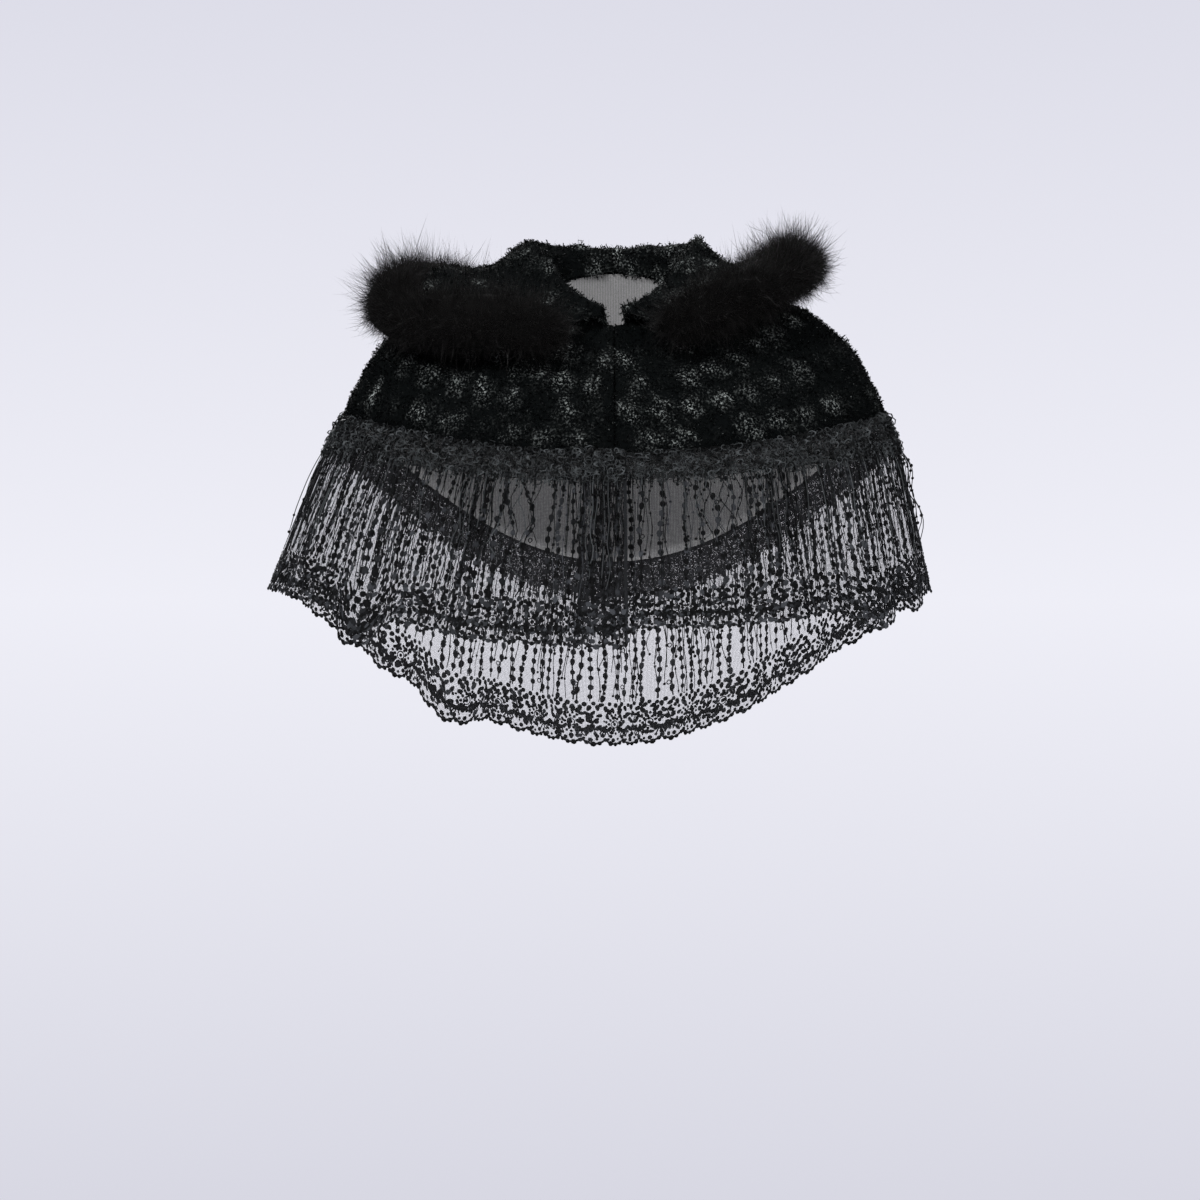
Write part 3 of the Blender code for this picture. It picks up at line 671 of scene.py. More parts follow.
def spread(mesh, count, draw, share=None):
    """Points spread over a mesh by area, with their normals.

    share(centres, normals) says how much of each triangle is wanted, and
    count is then for a square metre.
    """
    points = mesh_points(mesh)
    triangles, normals = mesh_triangles(mesh)
    corners = points[triangles]
    weight = np.linalg.norm(np.cross(corners[:, 1] - corners[:, 0],
                                     corners[:, 2] - corners[:, 0]), axis=1) / 2
    if share is not None:
        weight = weight * share(corners.mean(1), unit(normals[triangles].mean(1)))
        count = int(count * weight.sum())
    chosen = draw.choice(len(triangles), count, p=weight / weight.sum())
    u, v = draw.random((2, count))
    over = u + v > 1
    u[over], v[over] = 1 - u[over], 1 - v[over]
    parts = np.stack([1 - u - v, u, v], -1)[..., None]
    return ((corners[chosen] * parts).sum(1),
            unit((normals[triangles[chosen]] * parts).sum(1)))


def strands(lines, widths, sides):
    """Flat tapered strands along lines, an array (strand, step, 3).

    widths is the strand's width at each step but the last, which is its
    point. Returns points, four-sided and three-sided faces, and each point's
    place along its strand.
    """
    count, steps = lines.shape[:2]
    reach = sides[:, None] * widths[..., None] / 2
    pairs = np.stack([lines[:, :-1] - reach, lines[:, :-1] + reach], 2)
    points = np.concatenate([pairs.reshape(count, -1, 3), lines[:, -1:]], 1)
    each = points.shape[1]
    start = np.arange(count)[:, None] * each
    quads = np.concatenate([start + np.array([2 * k, 2 * k + 1, 2 * k + 3, 2 * k + 2])
                            for k in range(steps - 2)])
    tips = start + np.array([each - 3, each - 2, each - 1])
    along = np.append(np.repeat(np.arange(steps - 1), 2), steps - 1) / (steps - 1)
    return points.reshape(-1, 3), quads, tips, np.tile(along, count)


# ---------------- plush

PLUSH_SEED = 21
BODY_MIDDLE = np.array([0.0, 0.0, -0.30])   # inside the capelet
RAISED = (0.0085, 0.0125)   # distance of a rosette's crown from the wall's inside
ROSETTE_RADIUS = 0.0125
# The glints are painted highlights: grey mixed into the pile's colour on most rosettes
GLINT_RADIUS = 0.0082
GLINT_DRIFT = 0.0050        # how unevenly a patch of painted glints spreads
GLINT_WAVES = np.array([(420.0, -310.0, 190.0), (250.0, 390.0, -340.0),
                        (-360.0, 230.0, 410.0)])
BRIGHT_SHARE = 0.72         # of the rosettes, and how much glint is painted on them
BRIGHT, DULL = (0.40, 1.0), (0.0, 0.12)
STRAY_GLINT = 0.30          # painted glint of a few curls anywhere
LUMP_RADIUS = 0.0090
EDGE_PILE = 4.0             # pile along the cut edges, against 1 elsewhere

# A curl leans round its rosette, away from its middle, loosely and down. It
# rises, leans over and turns back, in shares of its length.
CURL_ROUND, CURL_AWAY, CURL_LOOSE, CURL_DOWN = 0.5, 0.6, 0.62, 0.45
CURL_RISE, CURL_LEAN = 0.38, 0.46
BACK_ROUND, BACK_AWAY, BACK_LOOSE = 0.5, 0.3, 0.8
TIP_LEAN, TIP_BACK, TIP_DOWN = 0.04, 0.52, 0.12
CURL_LENGTH, CROWN_LENGTH, LOOSE_LENGTH = 0.50, 0.40, 0.25
CURL_ROOT = 0.0010          # depth of its root in the cloth
CURL_TAPER = np.array([0.7, 1.0])
CURL_WIDTHS = (0.6, 1.3)

# Lumps under the rosettes, and the panels' flat sizes as cut, width by
# length, with their areas
YOKE_LUMP = 0.0012
HOOD_LUMP = 0.0036
YOKE_CUTS = {
    "yoke_front_right": ((0.46, 0.27), 0.058),
    "yoke_front_left": ((0.46, 0.27), 0.058),
    "yoke_back": ((0.80, 0.31), 0.150),
}
HOOD_CUTS = {
    "hood_right": ((0.36, 0.28), 0.088),
    "hood_left": ((0.36, 0.28), 0.088),
}


def rosettes_of(node, draw, step):
    """Middles of a panel's rosettes: the raised points of its solid on the
    yoke, and points kept a step apart on the hood."""
    work = welded(node)
    points = np.array([vertex.co for vertex in work.verts])
    normals = np.array([vertex.normal for vertex in work.verts])
    work.free()
    apart = np.linalg.norm(points[:, None] - points[None], axis=2)
    np.fill_diagonal(apart, 1)
    nearest = apart.min(1)
    outside = ((points - BODY_MIDDLE) * normals).sum(1) > 0
    if node in YOKE_CUTS:
        return points[(nearest > RAISED[0]) & (nearest < RAISED[1]) & outside]
    kept = []
    for point in points[draw.permutation(len(points))]:
        if all(np.linalg.norm(point - other) > step for other in kept):
            kept.append(point)
    return np.array(kept)


def rosette_shine(count, draw):
    """How much glint is painted on each rosette, as if it caught the light: most of them
    have some.
    """
    return np.where(draw.random(count) < BRIGHT_SHARE, draw.uniform(*BRIGHT, count),
                    draw.uniform(*DULL, count))


def shine_at(points, centres, strength):
    """Painted shine at points of the pile, in an uneven patch on each rosette."""
    uneven = points + GLINT_DRIFT * np.sin(points @ GLINT_WAVES)
    apart = np.linalg.norm(uneven[:, None] - centres[None], axis=2)
    return strength[apart.argmin(1)] * np.exp(-(apart.min(1) / GLINT_RADIUS)**2)


def curls(mesh, centres, strength, sizes, draw, share):
    """Curls of pile that open from their rosettes, longest at the crown."""
    roots, normals = spread(mesh, sizes.curls, draw, share)
    count = len(roots)
    own = np.linalg.norm(roots[:, None] - centres[None], axis=2).argmin(1)
    away = roots - centres[own]
    away -= normals * (away * normals).sum(1, keepdims=True)
    distance = np.linalg.norm(away, axis=1)
    outward = unit(away)
    turning = np.cross(normals, outward)
    loose = draw.normal(0, CURL_LOOSE, roots.shape)
    lean = unit(turning * CURL_ROUND + outward * CURL_AWAY + loose - (0, 0, CURL_DOWN))
    crown = np.exp(-(distance / ROSETTE_RADIUS)**2)
    reach = sizes.pile_length * (CURL_LENGTH + CROWN_LENGTH * crown
                                 + LOOSE_LENGTH * draw.random(count))
    reach = reach[:, None]
    middle = roots + (normals * CURL_RISE + lean * CURL_LEAN) * reach
    back = unit(turning * BACK_ROUND - outward * BACK_AWAY
                + draw.normal(0, BACK_LOOSE, roots.shape))
    tip = middle + (lean * TIP_LEAN + back * TIP_BACK - normals * TIP_DOWN) * reach
    lines = np.stack([roots - normals * CURL_ROOT, middle, tip], 1)
    side = unit(np.cross(lean, draw.normal(0, 1, roots.shape)))
    widths = sizes.curl_width * CURL_TAPER * draw.uniform(*CURL_WIDTHS, (count, 1))
    points, quads, tips, along = strands(lines, widths, side)
    # Painted glints: grey in the curls' colour, strongest towards their tips
    glint = shine_at(roots, centres, strength) * (0.35 + 0.65 * draw.random(count))
    glint = np.maximum(glint, STRAY_GLINT * draw.random(count)**12)
    shine = np.repeat(glint, len(along) // count) * (0.45 + 0.55 * along)
    return points, quads, tips, shine


def outer_face(centres, normals):
    """1 on the plush side of the yoke, more on its cut edges, 0 on its back."""
    away = ((centres - BODY_MIDDLE) * unit(normals)).sum(1)
    return np.where(away > 0.03, 1.0, np.where(away > -0.05, EDGE_PILE, 0.0))


def both_faces(centres, normals):
    """1 all over: the hood shows both its sides."""
    return np.ones(len(centres))


def raise_lumps(mesh, centres, share, height):
    """Lift the cloth into a low lump under each rosette."""
    points = mesh_points(mesh)
    _, normals = mesh_triangles(mesh)
    apart = np.linalg.norm(points[:, None] - centres[None], axis=2).min(1)
    lift = height * np.exp(-(apart / LUMP_RADIUS)**2) * (share(points, normals) > 0)
    points += normals * lift[:, None]
    mesh.vertices.foreach_set("co", points.astype(np.float32).ravel())
    mesh.update()


def make_plush(context, cuts, first_seed, share, lump):
    """Panels of plush: for each its cloth, and its pile on top."""
    look, sizes = workbox(context)
    for seed, (node, (cut, area)) in enumerate(cuts.items()):
        draw = np.random.default_rng(PLUSH_SEED + first_seed + seed)
        mesh = smooth_wall(node, "plush_" + node)
        mesh.materials.append(look.plush)
        mesh.materials.append(look.backing)
        centres = np.array([face.center for face in mesh.polygons])
        normals = np.array([face.normal for face in mesh.polygons])
        plain = share(centres, normals) == 0
        mesh.polygons.foreach_set("material_index", plain.astype(np.int32))
        rosettes = rosettes_of(node, draw, sizes.rosette_step)
        raise_lumps(mesh, rosettes, share, lump)
        strength = rosette_shine(len(rosettes), draw)
        # Painted glints in the plush's own colour, between the curls
        store_values(mesh, "shine", shine_at(mesh_points(mesh), rosettes, strength))
        cloth = add_piece("plush_" + node, mesh)
        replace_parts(cloth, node)
        points, quads, tips, shine = curls(mesh, rosettes, strength, sizes, draw, share)
        pile = new_piece("pile_" + node, points, [quads, tips], look.pile,
                         {"shine": shine})
    return {"FINISHED"}


class CAPELET_OT_yoke(bpy.types.Operator):
    """Two fronts and a back of rosette-pile plush"""
    bl_idname = "capelet.yoke"
    bl_label = "Plush yoke"

    def execute(self, context):
        return make_plush(context, YOKE_CUTS, 0, outer_face, YOKE_LUMP)


class CAPELET_OT_hood(bpy.types.Operator):
    """The two halves of the hood, laid back over the shoulders"""
    bl_idname = "capelet.hood"
    bl_label = "Plush hood"

    def execute(self, context):
        return make_plush(context, HOOD_CUTS, 10, both_faces, HOOD_LUMP)


# ---------------- long hair

HAIR_SEED = 5
TRIM_CORE_SINK = 0.0070     # the dense short hair, under the trim's solid
OUTLINE_SINK = 1e-6         # next to nothing: it only keeps the edges soft
HAIR_TOP = MODEL_BOX[1][2] + 0.0235         # no hair stands higher
HAIR_TOP_UNEVEN = 0.0090
TOP_REACH = 0.70            # how much further the hair stands up on top

HAIR_LOCK = 12              # hairs that lean together
LOCK_SPREAD = 0.0042
LOCK_SWEEP = (0.001, 0.010)
LOCK_REACH = (-0.0090, 0.0020, 0.0100)      # past the trim: least, usual, most
GUARD_SHARE = 0.12          # of the locks: guard hairs, which stand out
GUARD_LEAST = 0.006
GUARD_LOOSE = 1.8           # how much wider they spread
HAIR_ROOT = (0.010, 0.018)  # depth of the roots
HAIR_SHORTER = 0.0120       # by how much hairs fall short of their lock's end
HAIR_CLOSING = (0.4, 0.95)  # share of the spread that is left at the end
HAIR_STRAY = 0.0017
HAIR_BOW, HAIR_SAG = 0.0016, 0.0010
HAIR_STEPS = np.array([0.0, 0.55, 1.0])[None, :, None]
HAIR_TAPER = np.array([1.0, 0.80])
HAIR_WIDTHS = (0.6, 1.25)


def hair_of(mesh, sizes, draw):
    """Hairs in uneven locks, rooted inside the trim and ending past it."""
    locks = sizes.hairs // HAIR_LOCK
    roots, normals = spread(mesh, locks, draw)
    lean = draw.normal(0, 1, roots.shape)
    lean = unit(lean - normals * (lean * normals).sum(1, keepdims=True))
    sweep = draw.uniform(*LOCK_SWEEP, (locks, 1))
    reach = draw.triangular(*LOCK_REACH, (locks, 1))
    guard = draw.random((locks, 1)) < GUARD_SHARE
    reach = np.where(guard, draw.uniform(GUARD_LEAST, sizes.hair_reach, (locks, 1)), reach)
    reach *= np.where(reach > 0, 1 + TOP_REACH * np.clip(normals[:, 2:], 0, 1), 1)
    ends = roots + normals * reach + lean * sweep
    own = np.repeat(np.arange(locks), HAIR_LOCK)
    count = len(own)
    loose = np.where(guard, GUARD_LOOSE, 1.0)[own]
    jitter = draw.normal(0, LOCK_SPREAD, (count, 3)) * loose
    start = roots[own] - normals[own] * draw.uniform(*HAIR_ROOT, (count, 1)) + jitter
    short = draw.random((count, 1))**1.5 * HAIR_SHORTER * loose
    closing = draw.uniform(*HAIR_CLOSING, (count, 1))
    end = ends[own] + jitter * closing - normals[own] * short
    end += draw.normal(0, HAIR_STRAY, (count, 3))
    room = HAIR_TOP - start[:, 2:] - draw.uniform(0, HAIR_TOP_UNEVEN, (count, 1))
    climb = np.maximum(end[:, 2:] - start[:, 2:], 1e-4)
    end = start + (end - start) * np.clip(room / climb, 0, 1)
    bow = draw.normal(0, HAIR_BOW, (count, 3)) - np.array([0, 0, HAIR_SAG])
    lines = start[:, None] * (1 - HAIR_STEPS) + end[:, None] * HAIR_STEPS
    lines += bow[:, None] * (4 * HAIR_STEPS * (1 - HAIR_STEPS))
    side = unit(np.cross(end - start, draw.normal(0, 1, (count, 3))))
    widths = sizes.hair_width * HAIR_TAPER * draw.uniform(*HAIR_WIDTHS, (count, 1))
    return strands(lines, widths, side)


class CAPELET_OT_trim(bpy.types.Operator):
    """Long hair round the hood's edge, in two strips"""
    bl_idname = "capelet.trim"
    bl_label = "Long-hair trim"

    def execute(self, context):
        look, sizes = workbox(context)
        for seed, side in enumerate(("right", "left")):
            node = "fur_trim_" + side
            core = smooth_wall(node, "short_hair_" + side, TRIM_CORE_SINK)
            core.materials.append(look.hair_ground)
            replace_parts(add_piece("short_hair_" + side, core), node)
            outline = smooth_wall(node, "hair_outline", OUTLINE_SINK)
            draw = np.random.default_rng(HAIR_SEED + seed)
            points, quads, tips, along = hair_of(outline, sizes, draw)
            bpy.data.meshes.remove(outline)
            new_piece("long_hair_" + side, points, [quads, tips], look.hair,
                      {"along": along})
        return {"FINISHED"}


# ---------------- net

LACE_SEED = 40
NET_STEP = 0.0036
NET_ROWS = 44
BAND_ROWS = 8
SCALLOP_DEPTH = 0.0046
HEM_DOWN = FLOUNCE_DEPTH + 0.0006
END_MARGIN = 0.0015         # left free at a piece's ends


def span(ends, margin=0.0):
    """How long a piece is along the hem, without its margins."""
    return ends[1] - ends[0] - 2 * margin


def each_lace(first_seed=0):
    """Each lace piece with its name and its own random draw."""
    for seed, (name, lace) in enumerate(LACE_PIECES.items()):
        yield name, lace, np.random.default_rng(LACE_SEED + first_seed + seed)


def scallops_of(ends, sizes):
    """A whole number of scallops for a piece, and their width."""
    count = round(span(ends) / sizes.scallop)
    return count, span(ends) / count


def hem_edge(run, ends, sizes):
    """How far down the scalloped hem lies at a run."""
    _, width = scallops_of(ends, sizes)
    arch = np.abs(np.sin(math.pi * (run - ends[0]) / width))**0.75
    return HEM_DOWN - SCALLOP_DEPTH * (1 - arch)


def grid_faces(rows, columns):
    """Four-sided faces between the rows of a grid of points."""
    start = (np.arange(rows - 1)[:, None] * columns + np.arange(columns - 1)).ravel()
    return np.stack([start, start + columns, start + columns + 1, start + 1], -1)


def net_runs(ends):
    """Where a piece's columns of net stand along the hem."""
    return np.linspace(*ends, round(span(ends) / NET_STEP) + 1)


def net_sheet(name, lace, rows, top, bottom, height, material):
    """A sheet of net between two lines across the cloth."""
    runs = net_runs(lace["ends"])
    share = np.linspace(0, 1, rows + 1)[:, None]
    down = np.broadcast_to(top + share * (bottom - top), (rows + 1, len(runs)))
    flat = np.stack([np.broadcast_to(runs, down.shape), down,
                     np.full(down.shape, height)], -1)
    return new_piece(name, on_lace(flat, lace["shape"]).reshape(-1, 3),
                     [grid_faces(*down.shape)], material,
                     cloth_map=flat[..., :2].reshape(-1, 2))


class CAPELET_OT_tulle(bpy.types.Operator):
    """The gathered net of the flounce, with a scalloped hem"""
    bl_idname = "capelet.tulle"
    bl_label = "Tulle flounce"

    def execute(self, context):
        look, sizes = workbox(context)
        for name, lace, _ in each_lace():
            hem = hem_edge(net_runs(lace["ends"]), lace["ends"], sizes)
            sheet = net_sheet("tulle_" + name, lace, NET_ROWS, 0.0, hem, 0.0, look.net)
            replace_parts(sheet, "flounce_" + name)
            lace["sheet"] = sheet
        return {"FINISHED"}


# ---------------- how threads run

FULL_TURN = 6.3             # radians
CALM_SWAY = 0.0032

# Where threads and cords tangle: place along the hem, half width, and how far
# they sway
TANGLE_COLUMNS = ("run", "half", "sway")
TANGLES = (
    (-0.345, 0.020, 0.0050),
    (-0.185, 0.016, 0.0040),
    (-0.098, 0.026, 0.0140),
    (0.112, 0.032, 0.0130),
    (0.215, 0.018, 0.0050),
    (0.335, 0.022, 0.0060),
)

# Where more of them leave the heading, or fewer: place along the hem, half
# width and how many times more
BUNCH_COLUMNS = ("run", "half", "more")
BUNCHES = (
    (-0.330, 0.024, 0.8),
    (-0.240, 0.016, 0.9),
    (-0.146, 0.020, 2.4),
    (-0.092, 0.028, -0.5),
    (-0.020, 0.026, 1.8),
    (0.057, 0.032, -0.5),
    (0.162, 0.020, 2.4),
    (0.262, 0.018, 1.0),
    (0.345, 0.022, 0.8),
)


def crowded(ends, places, strength=1.0):
    """Even places from 0 to 1 as places along the hem, closer in the bunches."""
    runs = np.linspace(ends[0] + END_MARGIN, ends[1] - END_MARGIN, 400)
    crowd = np.ones(len(runs))
    for bunch in named_rows(BUNCH_COLUMNS, BUNCHES):
        crowd += (strength * bunch["more"]
                  * np.exp(-((runs - bunch["run"]) / bunch["half"])**2))
    return np.interp(places, np.cumsum(crowd) / crowd.sum(), runs)


def tangle_at(run):
    """How far threads sway at a place along the hem."""
    return max([CALM_SWAY] + [
        tangle["sway"] * math.exp(-((run - tangle["run"]) / tangle["half"])**2)
        for tangle in named_rows(TANGLE_COLUMNS, TANGLES)])


def swaying(downs, waves, run, draw):
    """Sway of a stitched line: waves (size, pitch), larger in the tangles."""
    sway = sum(size * np.sin(downs * pitch + draw.uniform(0, FULL_TURN))
               for size, pitch in waves)
    return sway * (tangle_at(run) / CALM_SWAY)


# ---------------- embroidery

THREAD_LOW = 0.0003         # height of a motif's rim over the net
RING_LOW = -0.0006          # of small rings, so that they lie flat


class Embroidery:
    """Flat motifs, gathered as points (run, down, height) and their faces.

    rarity is high where few threads have painted sheen.
    """

    def __init__(self, draw, rarity=5.0):
        self.points, self.threes, self.fours, self.count = [], [], [], 0
        self.shine, self.draw, self.rarity = [], draw, rarity

    def add(self, points, threes=(), fours=()):
        """Take up one motif, with painted sheen of its own."""
        self.points.append(points)
        self.shine.append(np.full(len(points), self.draw.random()**self.rarity))
        for faces, kept in ((threes, self.threes), (fours, self.fours)):
            if len(faces):
                kept.append(faces + self.count)
        self.count += len(points)

    def petal(self, run, down, length, width, turn=0.0, tall=0.0009, sides=8):
        """A raised dot or, where it is longer than wide, a leaf with a point."""
        angle = np.arange(sides) * 2 * math.pi / sides
        pinch = 1 - 0.30 * (length > width * 1.05) * np.cos(angle)
        x = np.cos(angle) * length / 2
        y = np.sin(angle) * width / 2 * pinch
        cos, sin = math.cos(turn), math.sin(turn)
        rim = np.stack([run + x * cos - y * sin, down + x * sin + y * cos,
                        np.full(sides, THREAD_LOW)], -1)
        ring = np.arange(sides)
        self.add(np.concatenate([rim, [[run, down, THREAD_LOW + tall]]]),
                 np.stack([ring, (ring + 1) % sides, np.full(sides, sides)], -1))

    def dot(self, run, down, radius, tall=0.0009):
        """A round raised dot."""
        self.petal(run, down, 2 * radius, 2 * radius, 0.0, tall, 7)

    def line(self, path, width, tall=0.0006, low=THREAD_LOW):
        """A stitched line: a low ridge along a path of flat points."""
        path = np.asarray(path, float)
        course = unit(np.gradient(path, axis=0))
        side = np.stack([-course[:, 1], course[:, 0]], -1) * width / 2
        rows = [np.column_stack([path + side * k, np.full(len(path), low + rise)])
                for k, rise in ((-1, 0), (0, tall), (1, 0))]
        self.add(np.concatenate(rows), fours=grid_faces(3, len(path))[:, [0, 3, 2, 1]])

    def ring(self, run, down, radius, width, low=RING_LOW, tilt=(0.0, 0.0), sides=8):
        """A ringlet: a flat ring that may stand askew."""
        angle = np.arange(sides) * 2 * math.pi / sides
        circle = np.stack([np.cos(angle), np.sin(angle)], -1)
        rows = []
        for reach in (radius - width / 2, radius + width / 2):
            flat = circle * reach
            height = low + radius * 0.5 + flat @ np.array(tilt)
            rows.append(np.column_stack([flat + (run, down), height]))
        step = np.arange(sides)
        after = (step + 1) % sides
        self.add(np.concatenate(rows),
                 fours=np.stack([step, after, sides + after, sides + step], -1))

    def piece(self, name, shape, material, slot, lift=0.0):
        """Sew all motifs on the lace, as one piece."""
        flat = np.concatenate(self.points)
        flat[:, 2] += lift
        sets = [np.concatenate(faces) for faces in (self.fours, self.threes) if faces]
        return new_piece(name, on_lace(flat, shape), sets, material,
                         {"shine": np.concatenate(self.shine)})


COLUMN_CROWD = 0.6          # how far the columns follow the bunches
COLUMN_JITTER = 0.0019
BORDER_TOP = 0.043          # height of the border over the hem

# A flower: radius of its middle and of the ring round it, then its petals and
# beads by their number and their distance from the middle
FLOWER_MIDDLE, FLOWER_RING = 0.0018, 0.0037
FLOWER_PETALS, PETALS_OUT, PETAL_SIZE = 9, 0.0064, (0.0036, 0.0029)
FLOWER_BEADS, BEADS_OUT, BEAD_RADIUS = 13, 0.0094, 0.0015

# The border's rows of leaves: place in a step, height over the hem with its
# stray, length and width
BORDER_STEP = 0.0078
LEAF_COLUMNS = ("place", "high", "stray", "length", "width")
LOOSE_LEAVES = (
    (0.3, 0.0288, 0.0022, 0.0066, 0.0038),
    (0.7, 0.0130, 0.0030, 0.0058, 0.0034),
)
FILL_STEP = 0.0012          # run of hem for each small dot of the filling
FILL_HIGH = (0.005, 0.012, 0.040)           # least, usual and most height
FILL_RADIUS = (0.0010, 0.0029)
HEM_DOT_STEP = 0.0054

# Kinds of column, by the distance between motifs: drops with dots, dots, drops
# with rings, and drops and dots by turns
CHAIN_STEPS = (0.0116, 0.0094, 0.0124, 0.0102)
WITH_DOTS, DOTS, WITH_RINGS, BY_TURNS = range(4)
CHAIN_WAVES = ((0.0012, 95), (0.0013, 41))
FILLER_WAVES = ((0.0016, 110),)
FILLER_SHORTER = (0.0, 0.0, 0.030, 0.055)   # how much sooner thin lines end
DROP_SIZE = (0.0080, 0.0056)


def flower(work, run, down):
    """A round rosette: a middle, a ring, petals and an edge of beads."""
    work.dot(run, down, FLOWER_MIDDLE, 0.0016)
    angle = np.linspace(0, 2 * math.pi, 13)
    work.line(np.stack([run + FLOWER_RING * np.cos(angle),
                        down + FLOWER_RING * np.sin(angle)], -1), 0.0011)
    for k in range(FLOWER_PETALS):
        turn = 2 * math.pi * k / FLOWER_PETALS
        work.petal(run + PETALS_OUT * math.cos(turn), down + PETALS_OUT * math.sin(turn),
                   *PETAL_SIZE, turn, 0.0013)
    for k in range(FLOWER_BEADS):
        turn = 2 * math.pi * (k + 0.5) / FLOWER_BEADS
        work.dot(run + BEADS_OUT * math.cos(turn), down + BEADS_OUT * math.sin(turn),
                 BEAD_RADIUS)


def spray(work, run, down, lean, leaves, reach):
    """Leaves on both sides of a stem that bends as it climbs."""
    place = np.linspace(0, 1, 7)
    path = np.stack([run + lean * reach * (0.25 * place + 0.5 * place**2),
                     down - reach * place], -1)
    work.line(path, 0.0013)
    for k in range(leaves):
        f = (k + 0.6) / leaves
        x = np.interp(f, place, path[:, 0])
        y = np.interp(f, place, path[:, 1])
        for side in (-1, 1):
            turn = -math.pi / 2 + side * 0.85 + lean * 0.5 * f
            size = 0.0086 * (1 - 0.30 * f)
            work.petal(x + math.cos(turn) * size * 0.60, y + math.sin(turn) * size * 0.60,
                       size, size * 0.56, turn, 0.0011)


def border_motif(work, number, start, width):
    """One scallop's share of the border: a flower or a spray, by turns."""
    middle = start + (number + 0.5) * width
    if number % 2 == 0:
        flower(work, middle, HEM_DOWN - 0.0205)
        for side in (-1, 1):
            work.petal(middle + side * 0.0065, HEM_DOWN - 0.0335, 0.0082, 0.0050,
                       -math.pi / 2 + side * 0.8)
    else:
        lean = 0.35 * (-1)**(number // 2)
        spray(work, middle - 0.001, HEM_DOWN - 0.0090, lean, 3, 0.0225)
        for side in (-1, 1):
            work.ring(middle + side * 0.0078, HEM_DOWN - 0.0110, 0.0025, 0.0014)
    for lean, place in ((-0.8, 0.20), (0.8, 0.80)):
        spray(work, start + (number + place) * width, HEM_DOWN - 0.0075, lean, 1, 0.0080)


def border(work, ends, sizes):
    """The border over the hem: flowers, sprays, leaves and small dots."""
    draw = work.draw
    count, width = scallops_of(ends, sizes)
    for k in range(count):
        border_motif(work, k, ends[0], width)
    for k in range(int(span(ends, END_MARGIN) / BORDER_STEP)):
        run = ends[0] + END_MARGIN + (k + 0.5) * BORDER_STEP
        work.dot(run + draw.normal(0, 0.0005), HEM_DOWN - 0.0410 + 0.0014 * (k % 2),
                 draw.uniform(0.0020, 0.0028))
        work.petal(run + BORDER_STEP / 2, HEM_DOWN - 0.0362 + draw.normal(0, 0.0010),
                   0.0066, 0.0044, math.pi / 2 + draw.normal(0, 0.6))
        for leaf in named_rows(LEAF_COLUMNS, LOOSE_LEAVES):
            work.petal(run + leaf["place"] * BORDER_STEP,
                       HEM_DOWN - leaf["high"] + draw.normal(0, leaf["stray"]),
                       leaf["length"], leaf["width"], draw.uniform(0, FULL_TURN))
    fill = int(span(ends) / FILL_STEP)
    for run, high, radius in zip(
            draw.uniform(ends[0] + END_MARGIN, ends[1] - END_MARGIN, fill),
            draw.triangular(*FILL_HIGH, fill),
            draw.uniform(*FILL_RADIUS, fill)):
        work.dot(run, HEM_DOWN - high, radius, 0.0006)


def scallop_edge(work, ends, sizes):
    """Chained dots along the scallops, over a stitched line."""
    runs = np.linspace(*ends, scallops_of(ends, sizes)[0] * 8 + 1)
    edge = hem_edge(runs, ends, sizes)
    work.line(np.stack([runs, edge - 0.0006], -1), 0.0022, 0.0010, 0.0001)
    dots = int(span(ends) / HEM_DOT_STEP)
    for k in range(dots):
        run = ends[0] + (k + 0.5) * span(ends) / dots
        low = hem_edge(run, ends, sizes)
        work.dot(run, low - 0.0002, 0.0022 + 0.0006 * (k % 3 == 0), 0.0012)
        work.dot(run + 0.0024, low - 0.0044, 0.0015 + 0.0008 * (k % 2))


def motif_chain(work, run, top, bottom, kind):
    """One column: motifs chained on a stitched line."""
    draw = work.draw
    downs = np.linspace(top, bottom, 15)
    sway = swaying(downs, CHAIN_WAVES, run, draw)
    work.line(np.stack([run + sway, downs], -1), draw.uniform(0.0011, 0.0017))
    step = CHAIN_STEPS[kind]
    for count, down in enumerate(np.arange(top + draw.uniform(0.004, step), bottom, step)):
        x = run + np.interp(down, downs, sway)
        if kind in (WITH_DOTS, WITH_RINGS) or count % 2 and kind == BY_TURNS:
            work.petal(x, down, *DROP_SIZE, math.pi / 2 + draw.normal(0, 0.2))
        else:
            work.dot(x, down, draw.uniform(0.0024, 0.0033))
        if kind == WITH_RINGS and count % 3 == 1:
            work.ring(x + 0.0034, down + step / 2, 0.0021, 0.0011)
        elif kind == WITH_DOTS:
            work.dot(x, down + step / 2, 0.0018)


def thin_line(work, run, top, bottom):
    """A thin line between the columns, with a few small dots."""
    draw = work.draw
    end = bottom - draw.choice(FILLER_SHORTER)
    downs = np.linspace(top, end, 12)
    sway = swaying(downs, FILLER_WAVES, run, draw)
    work.line(np.stack([run + sway, downs], -1), draw.uniform(0.0007, 0.0010))
    for down in np.arange(top + 0.02, end, 0.023) + draw.uniform(-0.008, 0.008):
        work.dot(run + np.interp(down, downs, sway), down, 0.0014)


